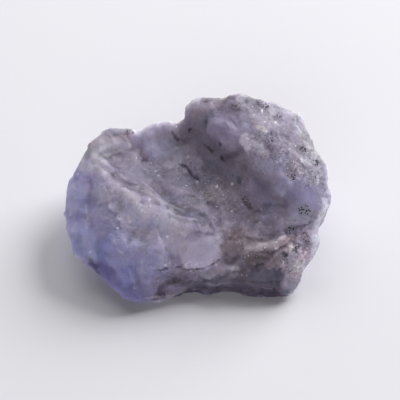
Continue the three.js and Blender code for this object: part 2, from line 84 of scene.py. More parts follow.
class Mask(str, Enum):
    """The values that each point of the stone's mesh carries, for its relief and its material."""

    BODY_COLOUR = "colour_and_painted_light"
    CUT = "cut"
    TONE = "tone"
    SUGAR = "sugar"
    GLASSY = "glassy"
    LAYERED = "layered"
    RUGGED = "rugged"
    GRAPHITE = "graphite"
    GLINT = "glint"
    CREST = "crest"
    SWELL = "swell"


CRESTS = (Mask.CREST, Mask.SWELL)  # how far a point stands out of what is close to it, and of what is far


# ---------------------------------------------------------------- helpers


def linear(hex_colour: str) -> tuple[float, float, float, float]:
    """Turns an sRGB hex colour into the linear one that Blender works in.

    Args:
        hex_colour: Six hex digits, with or without a leading #.

    Returns:
        Red, green, blue and an alpha of 1.
    """
    digits = hex_colour.lstrip("#")
    parts = [int(digits[i : i + 2], 16) / 255 for i in (0, 2, 4)]
    red, green, blue = [c / 12.92 if c <= 0.04045 else ((c + 0.055) / 1.055) ** 2.4 for c in parts]
    return red, green, blue, 1.0


def add_node(
    tree: Tree, kind: str, *values: Any, inputs: dict[str, Any] | None = None, **settings: Any
) -> Socket | None:
    """Adds a node to a tree, sets it up and links it.

    An input takes either the socket that feeds it or a plain value. The inputs and outputs that the node's
    settings leave out don't count.

    Args:
        tree: The tree that the node goes into.
        kind: The node's type, such as GeometryNodeSetPosition. A shader node's goes without its ShaderNode.
        values: What the node's first inputs take, in their order.
        inputs: What its other inputs take, by name.
        settings: The node's own settings.

    Returns:
        The first of the node's outputs, if it has one.
    """
    node = tree.nodes.new(kind if "Node" in kind else "ShaderNode" + kind)
    for name, value in settings.items():
        setattr(node, name, value)
    entries = [entry for entry in node.inputs if entry.enabled]
    named = {entry.name: entry for entry in entries}
    given = [*zip(entries, values), *((named[name], value) for name, value in (inputs or {}).items())]
    for entry, value in given:
        if isinstance(value, Socket):
            tree.links.new(value, entry)
        else:
            entry.default_value = value
    return next((output for output in node.outputs if output.enabled), None)


def add_slope(tree: Tree, places: Socket, cells: bpy.types.Node) -> Socket:
    """Adds a slope across each cell of a pattern, each its own way.

    Args:
        tree: The tree that the nodes go into.
        places: The places that the pattern is laid over.
        cells: The pattern's node.

    Returns:
        The socket with the height, which is 0 in the middle of each cell.
    """
    lean = add_node(tree, "VectorMath", cells.outputs["Color"], MIDDLE, operation="SUBTRACT")
    inside = add_node(tree, "VectorMath", places, cells.outputs["Position"], operation="SUBTRACT")
    return add_node(tree, "VectorMath", lean, inside, operation="DOT_PRODUCT")


def apply_modifier(piece: bpy.types.Object, kind: str, **settings: Any) -> None:
    """Adds a modifier to the active piece, sets it up and applies it.

    Args:
        piece: The piece, which is the active object.
        kind: The modifier's type, such as SUBSURF.
        settings: The modifier's own settings.
    """
    bpy.ops.object.modifier_add(type=kind)
    modifier = piece.modifiers[-1]
    for name, value in settings.items():
        setattr(modifier, name, value)
    bpy.ops.object.modifier_apply(modifier=modifier.name)


def distance_to_line(places: np.ndarray, line: tuple[Point, ...]) -> np.ndarray:
    """Measures how far each place is from a line of one or more points.

    Args:
        places: The places, one row each.
        line: The line's points.

    Returns:
        One distance for each place.
    """
    corners = np.array(line, float)
    nearest = np.linalg.norm(places - corners[0], axis=1)
    for start, end in zip(corners[:-1], corners[1:]):
        run = end - start
        share = np.clip((places - start) @ run / (run @ run), 0, 1)
        nearest = np.minimum(nearest, np.linalg.norm(places - start - share[:, None] * run, axis=1))
    return nearest


def fade(distance: np.ndarray, radius: float, softness: float) -> np.ndarray:
    """Falls smoothly from 1 inside a radius to 0 outside it.

    Args:
        distance: The distances from the middle.
        radius: Where the fall ends.
        softness: The share of the radius that it falls over.

    Returns:
        One share for each distance.
    """
    share = np.clip((radius - distance) / (radius * softness), 0, 1)
    return share * share * (3 - 2 * share)


# ---------------------------------------------------------------- what marks the stone


@dataclass(frozen=True)
class Stain:
    """A colour spread round a line: a part of the crystal with a colour of its own, or painted light or shade.
    """

    name: str
    colour: str
    radius: float
    line: tuple[Point, ...]
    strength: float = 0.85
    softness: float = 0.7

    def share(self, places: np.ndarray) -> np.ndarray:
        """Works out how much of the stain's colour each place has."""
        return self.strength * fade(distance_to_line(places, self.line), self.radius, self.softness)


BROAD_MARK = 0.4  # the width from which a mark slopes gently from its middle, and doesn't have steep sides
BROAD_POWER = 2  # the higher the power, the steeper the sides
NARROW_POWER = 4


@dataclass(frozen=True)
class Mark:
    """A fine line or spot, darker or lighter than what is round it, cut in or standing up."""

    name: str
    width: float
    tone: float  # from -1, as dark as marks get, to 1, as light
    depth: float  # how deep it is cut in, less than nothing where it stands up
    line: tuple[Point, ...]

    def share(self, places: np.ndarray) -> np.ndarray:
        """Works out how much of the mark's tone and depth each place has."""
        power = BROAD_POWER if self.width >= BROAD_MARK else NARROW_POWER
        return np.exp(-((distance_to_line(places, self.line) / self.width) ** power))


@dataclass(frozen=True)
class Patch:
    """A part of the surface that broke in a way of its own, spread round a line."""

    name: str
    radius: float
    line: tuple[Point, ...]
    strength: float = 1.0


def cover(patches: Iterable[Patch], places: np.ndarray, softness: float = 0.6) -> np.ndarray:
    """Works out how much each place belongs to the strongest of some patches.

    Args:
        patches: The patches.
        places: The places, one row each.
        softness: The share of its radius that each patch fades over.

    Returns:
        One share for each place.
    """
    shares = [p.strength * fade(distance_to_line(places, p.line), p.radius, softness) for p in patches]
    return np.max(shares, axis=0)


# The crystal's colours, with painted light and shade in many of them: the shaded stains, the dark trough and
# hump wall, the lit and shaded sides of the ridges, and the dark under edges and wedge by the floor darken or
# lighten a place for how light falls there. Each stain lies over those before it.
FINE_STAIN = 0.5  # the radius up to which a stain has an edge of its own, and not that of the facets under it
STAINS = (
    Stain("blue violet of the thin end", "9291bc", 5.6,
          ((-12.5, 1.5, 4.0), (-12.0, -3.5, 3.0), (-8.0, -7.5, 2.0)), 0.8),
    Stain("back", "868197", 5.0, ((-4.0, 8.0, 3.0), (2.0, 8.4, 4.0), (8.0, 7.4, 3.5)), 0.8),
    Stain("blue of the back", "8380aa", 2.8, ((-8.0, 7.8, 3.4), (-4.0, 7.0, 2.4)), 0.8),
    Stain("brown layers of the back", "8e808d", 1.5,
          ((4.4, 8.0, 2.2), (8.0, 7.0, 2.8), (10.0, 5.8, 3.2)), 0.8),
    Stain("right side", "857fa4", 2.2, ((11.8, 0.4, 3.4), (10.2, 4.0, 3.6), (10.8, -2.0, 2.4)), 0.8),
    Stain("deep blue lobe", "6e689c", 3.2, ((-8.6, -6.4, 2.6), (-6.6, -8.2, 1.8)), 0.9),
    Stain("grey basin", "898295", 4.0, ((-5.5, 3.6, 6.2), (-1.5, 1.0, 6.2)), 0.7),
    # painted shade: the trough darkened for the shadow that the hump and the ridge cast into it
    Stain("dark trough", "837b89", 3.4,
          ((-1.5, 6.5, 7.6), (1.0, 3.5, 7.0), (3.4, 0.4, 6.3), (6.0, -1.6, 6.0)), 0.8),
    # painted shade: the hump's wall darkened where it faces away from the light
    Stain("dark hump wall", "7f7689", 2.4, ((-0.6, 6.6, 9.2), (1.0, 4.6, 8.0), (3.6, 2.6, 8.0)), 0.7),
    Stain("violet dish", "8e8096", 2.6, ((5.6, 0.0, 6.4), (7.0, -0.4, 6.7)), 0.7),
    Stain("pale hump", "9992a1", 4.2, ((1.0, 8.8, 10.9), (5.0, 6.6, 11.0), (9.0, 5.0, 10.0)), 0.8),
    Stain("lavender boss", "87809b", 2.2, ((2.2, 5.6, 10.3), (4.2, 4.6, 10.2)), 0.8),
    Stain("grey flank", "9c99a7", 3.4, ((8.0, 3.4, 9.6), (11.0, 1.5, 8.4), (11.8, -1.2, 6.6)), 0.8),
    Stain("blue window", "9d97b7", 1.8, ((9.2, -0.6, 8.0), (10.6, -0.8, 7.2)), 0.9),
    Stain("pale crust", "958f97", 2.6, ((-9.6, 5.8, 6.8), (-7.4, 7.0, 6.8)), 0.9),
    Stain("lavender block", "a29fb2", 2.2, ((-5.0, 7.2, 7.0), (-3.4, 7.0, 7.4)), 0.8),
    Stain("brown layers", "8b797f", 2.2, ((3.6, -4.4, 4.6), (6.0, -5.2, 4.2), (9.0, -5.0, 4.5)), 0.8),
    # painted shade: the foot of the front wall darkened for the shade in its recess
    Stain("dark foot", "2f2c44", 1.8, ((4.0, -7.4, 2.2), (8.4, -7.2, 2.0))),
    Stain("shaded flank", "7b6e83", 1.6, ((7.9, 4.6, 10.1), (8.8, 3.4, 9.6), (9.7, 2.8, 9.2)), 0.8),
    Stain("pale end of the basin", "bdb8ce", 1.8,
          ((-4.8, 5.7, 6.4), (-3.1, 4.9, 6.4), (-1.6, 4.3, 6.4)), 0.8),
    Stain("second block", "b6b3c5", 1.3, ((-5.1, 7.4, 7.2), (-4.6, 6.4, 6.8))),
    Stain("grey neck", "c3bcdc", 1.5, ((-11.0, 3.6, 6.2), (-10.8, 2.6, 6.0), (-10.2, 1.5, 5.9)), 0.9),
    Stain("pale face of the corner block", "aca8b5", 1.2,
          ((-9.3, 7.2, 6.8), (-8.4, 6.5, 6.7), (-7.6, 6.0, 6.5)), 0.9),
    # painted light: the lower sides of the ridges lightened for the light that comes through the crystal there
    Stain("pale lower side of the ridge", "c3bfd4", 1.3,
          ((-9.3, 0.6, 6.2), (-7.8, -0.6, 6.2), (-6.1, -2.2, 6.4), (-4.4, -2.8, 6.4)), 0.9),
    Stain("lower side of the second ridge", "cdc7d6", 1.2,
          ((-4.4, -2.8, 6.4), (-2.5, -3.6, 6.4), (-1.0, -4.0, 6.0)), 0.9),
    # painted shade: the upper sides of the ridges darkened, so that they show less of the light that falls on
    # them
    Stain("upper side of the ridge", "6f697b", 0.9,
          ((-9.1, 3.0, 7.0), (-7.9, 1.9, 6.9), (-6.4, 0.9, 6.8), (-4.8, -0.5, 7.1))),
    Stain("upper side of the second ridge", "58525d", 0.9,
          ((-2.7, -1.3, 6.6), (-1.1, -1.7, 6.3), (0.8, -2.2, 5.9))),
    Stain("wide lip", "bbb4ca", 1.5, ((-2.4, -5.0, 5.5), (-0.8, -5.5, 4.9), (1.1, -4.7, 4.7)), 0.9),
    Stain("lower lip", "c3bbd3", 1.2, ((-1.0, -6.3, 4.1), (0.6, -6.2, 3.7), (1.7, -5.5, 3.9)), 0.9),
    Stain("pale slope of the dish", "b4acc3", 1.2, ((6.5, 2.1, 8.9), (7.2, 1.2, 8.1), (7.8, 0.5, 7.2))),
    Stain("lower slope of the dish", "958ca5", 1.4,
          ((5.9, 0.0, 6.7), (6.9, -1.2, 6.1), (7.2, -2.4, 5.7)), 0.8),
    Stain("shelf of the groove", "bcb6cb", 0.9, ((8.3, -3.0, 5.2), (9.5, -3.0, 5.5), (10.6, -2.9, 5.6))),
    Stain("pinkish corner", "d2c5d3", 1.2, ((7.9, -4.7, 4.7), (9.0, -5.4, 4.3), (10.1, -5.6, 3.6)), 0.9),
    Stain("pale foot of the corner", "c6bac9", 1.2,
          ((8.7, -6.0, 3.5), (9.1, -6.6, 2.7), (8.9, -7.2, 1.9)), 0.9),
    # painted shade: the front wall darkened low down, where it is in the shade of the stone
    Stain("dark under edge", "5d5467", 1.5,
          ((-2.3, -7.6, 2.1), (-0.1, -7.4, 1.8), (2.3, -7.3, 1.9), (4.6, -7.4, 1.9), (7.0, -7.7, 1.6)), 0.9),
    Stain("slate wall", "716977", 1.3, ((3.4, -6.5, 2.9), (4.6, -6.3, 3.1), (5.6, -6.7, 2.8))),
    Stain("side of the blue end", "b6b8dc", 1.6,
          ((-11.1, -3.0, 4.5), (-10.5, -4.1, 4.4), (-9.9, -5.1, 4.2)), 0.8),
    Stain("slope of the lobe", "a7a8dc", 1.4, ((-8.3, -5.4, 4.6), (-7.1, -6.4, 4.0), (-6.7, -7.3, 3.1)), 0.8),
    Stain("blue of the lobe", "a4a3ca", 1.6, ((-7.4, -3.8, 5.5), (-6.7, -5.3, 5.2), (-7.1, -6.0, 4.5))),
    Stain("blue behind the lip", "a9a5c8", 1.2, ((-4.1, -5.8, 5.1), (-3.8, -6.8, 4.1), (-4.3, -7.5, 3.4))),
    Stain("side of the lobe", "a09cc3", 1.0, ((-5.2, -6.7, 4.5), (-4.3, -7.6, 3.2), (-2.9, -6.9, 3.1))),
    Stain("rim of the corner block", "7f7d8c", 0.8,
          ((-9.1, 7.3, 6.9), (-8.0, 7.6, 7.1), (-6.8, 7.6, 7.2)), 0.9),
    Stain("rim of the hump", "57545d", 0.7,
          ((1.0, 8.5, 10.7), (2.5, 8.5, 10.8), (4.3, 8.2, 11.3), (5.8, 8.1, 11.0))),
    Stain("right rim of the hump", "7d7b84", 0.8,
          ((7.2, 7.7, 10.7), (8.5, 7.4, 10.4), (9.7, 6.8, 10.2)), 0.8),
    Stain("upper rim of the flank", "717279", 0.8, ((10.8, 4.9, 9.4), (11.3, 3.5, 9.0), (12.0, 2.3, 8.6))),
    Stain("crown", "7c758e", 1.0, ((3.8, 6.7, 10.7), (4.2, 5.9, 10.5), (3.1, 5.2, 10.6))),
    Stain("pale facet of the wall", "c2c0d6", 0.9, ((4.7, 3.6, 10.1), (5.6, 3.1, 9.8))),
    Stain("slope beside the dish", "cac4d9", 0.8, ((8.0, 1.2, 9.2), (8.2, 0.6, 7.7), (8.0, 0.0, 7.0)), 0.9),
    Stain("dark line of the flank", "7e7688", 0.9, ((7.8, 2.9, 9.7), (8.7, 2.4, 9.6), (9.5, 1.7, 9.3))),
    # painted shade: darkened so that this face, which faces the light, shows less of it
    Stain("foot of the second ridge", "5d5667", 0.9,
          ((-2.1, -1.9, 6.8), (-1.1, -2.2, 6.5), (0.4, -2.5, 6.3)), 0.9),
    Stain("middle of the trough", "b8b4b7", 0.8, ((1.0, 0.2, 6.0), (1.6, -0.4, 5.9))),
    Stain("pale band of the lower side", "c8c4dc", 0.9,
          ((-7.0, -2.7, 5.8), (-5.8, -3.2, 5.7), (-4.6, -3.4, 5.7)), 0.9),
    Stain("lower end of the lip", "cabfd7", 0.9,
          ((-0.6, -6.5, 3.5), (0.6, -6.3, 3.0), (1.9, -5.9, 3.1)), 0.9),
    Stain("right end of the lip", "c8c1d3", 0.6, ((1.9, -3.9, 4.7), (2.2, -4.8, 4.2), (1.9, -5.5, 3.8)), 0.9),
    Stain("step of the front", "aea4bb", 0.8, ((-2.0, -6.8, 2.8), (-0.1, -6.6, 2.4), (1.8, -6.4, 2.4))),
    Stain("right edge", "cec8d7", 0.7, ((12.4, -0.8, 6.5), (11.9, -2.0, 5.8), (11.4, -2.8, 5.2)), 0.9),
    # painted contact shade along the bottom of the front, where it meets the floor
    Stain("lower dark edge", "3e334c", 1.1,
          ((-1.5, -7.6, 0.5), (0.8, -7.4, 0.3), (3.2, -7.3, 0.2), (5.6, -7.6, 0.4), (8.0, -7.8, 0.7)), 0.9),
    Stain("base of the lobe", "665b70", 0.6, ((-3.9, -8.5, 1.2), (-2.5, -8.0, 1.1))),
    Stain("upper neck", "c8c5d0", 0.9, ((-11.2, 4.6, 6.1), (-11.1, 3.7, 6.0), (-10.1, 3.5, 6.6)), 0.9),
    Stain("face under the corner block", "bbb3c0", 0.9,
          ((-9.0, 6.8, 6.7), (-8.2, 6.2, 6.6), (-7.2, 6.0, 6.4)), 0.9),
    Stain("pale rim of the flank", "aca9b1", 0.6, ((9.9, 6.1, 10.0), (10.1, 4.4, 9.5), (10.6, 2.9, 9.1))),
    Stain("pale rim beside the crown", "cac4cf", 0.6, ((7.2, 7.6, 10.6), (8.1, 7.1, 10.4), (8.8, 6.2, 10.2))),
    # painted shade: the second ridge's crest darkened so that it shows less of the light that falls on it
    Stain("grey crest of the second ridge", "645f76", 0.7,
          ((-2.6, -2.3, 7.1), (-1.5, -2.6, 6.7), (-0.4, -2.7, 6.6), (0.6, -2.1, 6.0)), 0.9),
    # painted shade: the head of the ridge darkened so that it shows less of the light that falls on it
    Stain("crest of the ridge", "6f697e", 0.7, ((-8.7, 4.8, 6.1), (-8.2, 3.8, 6.1), (-7.3, 2.2, 6.6))),
    Stain("band beside the crack", "a097ac", 1.3, ((-0.6, 5.0, 7.1), (-0.2, 3.5, 6.6), (0.1, 2.2, 6.1)), 0.8),
    Stain("dark rim of the flank", "a199b2", 0.6, ((11.6, -0.3, 7.2), (11.9, -0.8, 6.8), (11.6, -1.6, 6.4))),
    Stain("dark foot of the dish", "574954", 0.7, ((4.9, -4.1, 4.8), (6.0, -4.4, 4.6), (7.2, -3.8, 4.4))),
    Stain("pale side of the end", "bbb2c0", 0.8, ((-9.6, 3.0, 6.8), (-9.1, 2.1, 7.0))),
    Stain("dark band of the lobe", "787292", 0.9, ((-8.8, -1.0, 5.9), (-8.2, -2.2, 5.8), (-7.6, -3.6, 5.6))),
    Stain("pale corner edge", "d2d1da", 0.7, ((9.1, -6.3, 3.0), (9.8, -5.9, 3.3), (10.2, -6.1, 2.7)), 0.9),
    Stain("pale corner of the hump", "b5b1bd", 0.7, ((-0.6, 8.0, 10.4), (0.0, 8.2, 10.7)), 0.7),
    Stain("hollow of the crown", "7a718a", 0.9, ((2.5, 7.4, 10.6), (3.1, 6.0, 10.6)), 0.8),
    Stain("blue hollow of the end", "9195ba", 0.8, ((-11.5, -3.4, 4.2), (-11.3, -4.7, 3.7)), 0.8),
    Stain("blue hollow over the lobe", "8b8fbb", 0.8, ((-9.1, -4.9, 4.7), (-8.8, -5.6, 4.2)), 0.8),
    Stain("violet seam of the blocks", "a498ad", 0.5,
          ((-6.5, 7.1, 6.9), (-5.8, 6.8, 6.6), (-5.5, 5.5, 5.9), (-5.0, 5.1, 5.7)), 0.8),
    Stain("violet line over the boss", "988896", 0.55,
          ((0.0, 7.4, 10.2), (1.5, 7.3, 10.4), (2.2, 7.4, 10.5)), 0.8),
    Stain("red band under the boss", "594059", 0.5,
          ((2.6, 3.2, 8.0), (3.3, 3.2, 8.3), (4.0, 3.1, 8.8), (4.5, 3.1, 9.2)), 0.55, 1.0),
    Stain("white sugar", "d3c9d5", 0.9, ((4.8, 3.5, 10.0), (5.7, 3.2, 9.8), (6.3, 2.8, 9.6)), 0.7),
    Stain("slate of the foot", "716b81", 0.9, ((5.5, -6.8, 2.7), (6.8, -7.0, 2.6), (7.9, -6.8, 2.6)), 0.7),
    Stain("pale middle of the ridge", "c6c2d1", 0.8,
          ((-7.8, 0.3, 6.8), (-6.8, -0.3, 6.9), (-6.0, -1.3, 7.0))),
    Stain("pale streak behind the lip", "c2bddc", 0.6,
          ((-3.6, -5.3, 5.5), (-3.1, -5.9, 4.9), (-2.9, -6.5, 4.1))),
    Stain("dark edge of the lip end", "968eaf", 0.5, ((-1.7, -6.2, 4.3), (-1.6, -6.5, 3.6))),
    Stain("bright end of the lip", "d6cbda", 0.5, ((2.2, -4.2, 4.5), (2.4, -5.0, 4.0))),
    Stain("light over the layers", "dacedc", 0.9, ((6.1, -3.0, 4.9), (6.9, -3.3, 4.5)), 0.5, 1.0),
    Stain("light of the slope", "c7c5db", 0.7, ((8.2, 0.7, 8.7), (8.6, 0.0, 8.1))),
    Stain("lower right rim", "c0c5d2", 0.6, ((11.5, -3.9, 4.5), (11.1, -5.0, 4.0))),
    Stain("trough light", "a098a4", 0.9, ((1.7, 0.5, 6.3), (2.1, -0.4, 6.2))),
    Stain("upper cream band", "a08c93", 0.4,
          ((6.2, -4.8, 4.6), (7.0, -4.9, 4.5), (7.8, -4.7, 4.7), (8.5, -4.4, 4.9))),
    Stain("cream end of the band", "b7a8ac", 0.45, ((4.8, -5.2, 4.3), (5.5, -5.2, 4.4), (6.0, -5.1, 4.5))),
    Stain("cleft of the bands", "6e5d66", 0.2,
          ((6.2, -5.4, 4.2), (7.0, -5.4, 4.1), (7.6, -5.3, 4.2), (8.3, -5.0, 4.6),
           (8.9, -4.4, 5.0)), 0.8, 0.8),
    Stain("second band", "b9abb3", 0.25,
          ((7.4, -5.6, 3.9), (7.9, -5.3, 4.2), (8.6, -5.1, 4.6), (8.9, -4.9, 4.9))),
    Stain("white spike", "f6e9ee", 0.22, ((8.9, -4.9, 4.9), (8.9, -5.2, 4.6), (8.9, -5.4, 4.3)), 1.0, 0.6),
    Stain("white sugar of the slope", "e9e2ea", 0.3, ((8.0, -4.1, 4.7), (8.3, -4.0, 4.8)), 0.9, 0.6),
    Stain("brown hollow", "73626e", 0.45, ((5.1, -5.7, 3.6), (5.8, -5.8, 3.6), (6.4, -5.9, 3.5))),
    Stain("shaded crest of the second ridge", "8e8c9d", 0.35,
          ((-2.6, -2.9, 6.9), (-1.5, -3.3, 6.6), (-0.4, -3.5, 6.5), (0.6, -3.1, 5.9)), 0.9),
    Stain("white scratch of the top", "f2eff6", 0.2, ((6.4, 7.1, 10.6), (6.4, 6.9, 10.5)), 1.0, 0.6),
    Stain("pale spot beside the boss", "b9b3ba", 0.45, ((6.1, 4.7, 10.5), (6.7, 4.6, 10.4))),
    Stain("dark line beside the crown", "817c84", 0.18,
          ((5.1, 3.8, 10.2), (5.7, 3.6, 10.1), (6.4, 3.7, 10.1)), 0.8),
    Stain("lilac slope of the hump", "b2acbe", 0.9,
          ((8.7, 6.8, 10.3), (9.2, 5.4, 9.9), (9.7, 4.0, 9.5)), 0.8),
    Stain("pale rim of the flank end", "b2afb7", 0.7,
          ((11.0, 3.2, 9.1), (11.4, 1.9, 8.7), (11.6, 1.1, 8.0)), 0.8),
    Stain("lilac of the flank", "9a94ac", 1.1, ((7.2, 3.5, 9.9), (7.6, 2.5, 9.6), (8.3, 1.8, 9.5)), 0.8),
    Stain("pale top of the crown", "b2acb6", 0.8, ((4.3, 8.1, 11.3), (4.3, 7.3, 11.0)), 0.8),
    Stain("pale line of the crown", "a5a0b5", 0.5, ((4.5, 6.4, 10.6), (4.9, 5.2, 10.4)), 0.8),
    Stain("shaded crest of the ridge", "81798b", 0.4, ((-9.8, 4.0, 6.8), (-8.7, 2.6, 7.0), (-7.5, 1.2, 7.1))),
    Stain("light of the corner block", "c5c1ce", 0.7, ((-9.2, 5.7, 6.4), (-8.3, 5.4, 6.1))),
    Stain("light of the second ridge", "89838d", 0.8,
          ((-5.4, 0.4, 6.8), (-4.4, -0.8, 7.2), (-3.6, -1.5, 7.2)), 0.8),
    Stain("light of the ledge end", "b8afc2", 0.6,
          ((2.5, -6.6, 2.5), (3.4, -6.2, 3.0), (4.2, -5.9, 3.3)), 0.8),
    Stain("light of the crevice", "a59cbd", 0.7,
          ((-3.6, -7.6, 2.5), (-2.7, -7.6, 1.6), (-1.4, -7.5, 1.2)), 0.8),
    Stain("light of the left edge", "b3b2cf", 0.8,
          ((-12.4, 2.1, 4.8), (-12.2, 0.6, 4.7), (-12.0, -0.7, 4.5)), 0.8),
    Stain("violet of the corner", "746f88", 0.6, ((9.8, -4.4, 5.0), (10.1, -4.9, 4.6))),
    Stain("light of the right edge", "cfd0dc", 0.5,
          ((12.3, -1.3, 6.1), (12.0, -2.1, 5.6), (11.6, -2.8, 5.0)), 0.8),
    Stain("dark edge of the corner", "626a75", 0.6, ((9.6, -6.9, 1.9), (9.3, -7.4, 1.5), (8.7, -7.8, 1.4))),
    Stain("shaded head of the ridge", "988e98", 0.45,
          ((-10.4, 4.5, 6.7), (-9.8, 3.7, 6.8), (-9.0, 3.7, 6.8))),
    Stain("shaded side of the trough", "726b79", 0.7, ((-0.7, -0.5, 6.4), (-0.0, -0.9, 6.1)), 0.8),
    Stain("shaded end of the second ridge", "605b6e", 0.7, ((-0.0, -3.2, 6.5), (0.9, -2.9, 5.7)), 0.8),
    Stain("light beside the right edge", "b7b4c2", 0.6, ((11.4, 1.4, 8.5), (11.6, 0.9, 7.9))),
    Stain("light of the ledge", "c2b9c3", 0.7, ((0.8, -6.6, 2.2), (1.8, -6.6, 2.3)), 0.8),
    Stain("shade beside the spike", "726577", 0.45, ((9.2, -4.6, 5.1), (9.6, -5.1, 4.8)), 0.8),
    Stain("left of the lobe", "7a74a6", 0.9, ((-8.6, -6.6, 3.3), (-8.0, -7.4, 2.8), (-7.3, -8.3, 2.1))),
    # painted shadow: the wedge under the overhanging thin end darkened
    Stain("dark wedge of the end", "5b5788", 0.4,
          ((-10.0, -6.1, 3.2), (-9.4, -6.7, 2.6), (-8.9, -7.0, 2.1)), 0.9),
    Stain("pale foot of the lobe", "817ead", 0.5, ((-5.6, -8.3, 2.4), (-5.1, -8.8, 1.7)), 0.8),
    Stain("grey shelf of the crevice", "988da0", 0.5, ((-2.5, -8.1, 0.9), (-1.1, -7.4, 1.1)), 0.8),
    Stain("green foot of the corner", "9796a5", 0.6, ((8.9, -7.0, 2.1), (9.2, -7.5, 1.5)), 0.8),
)
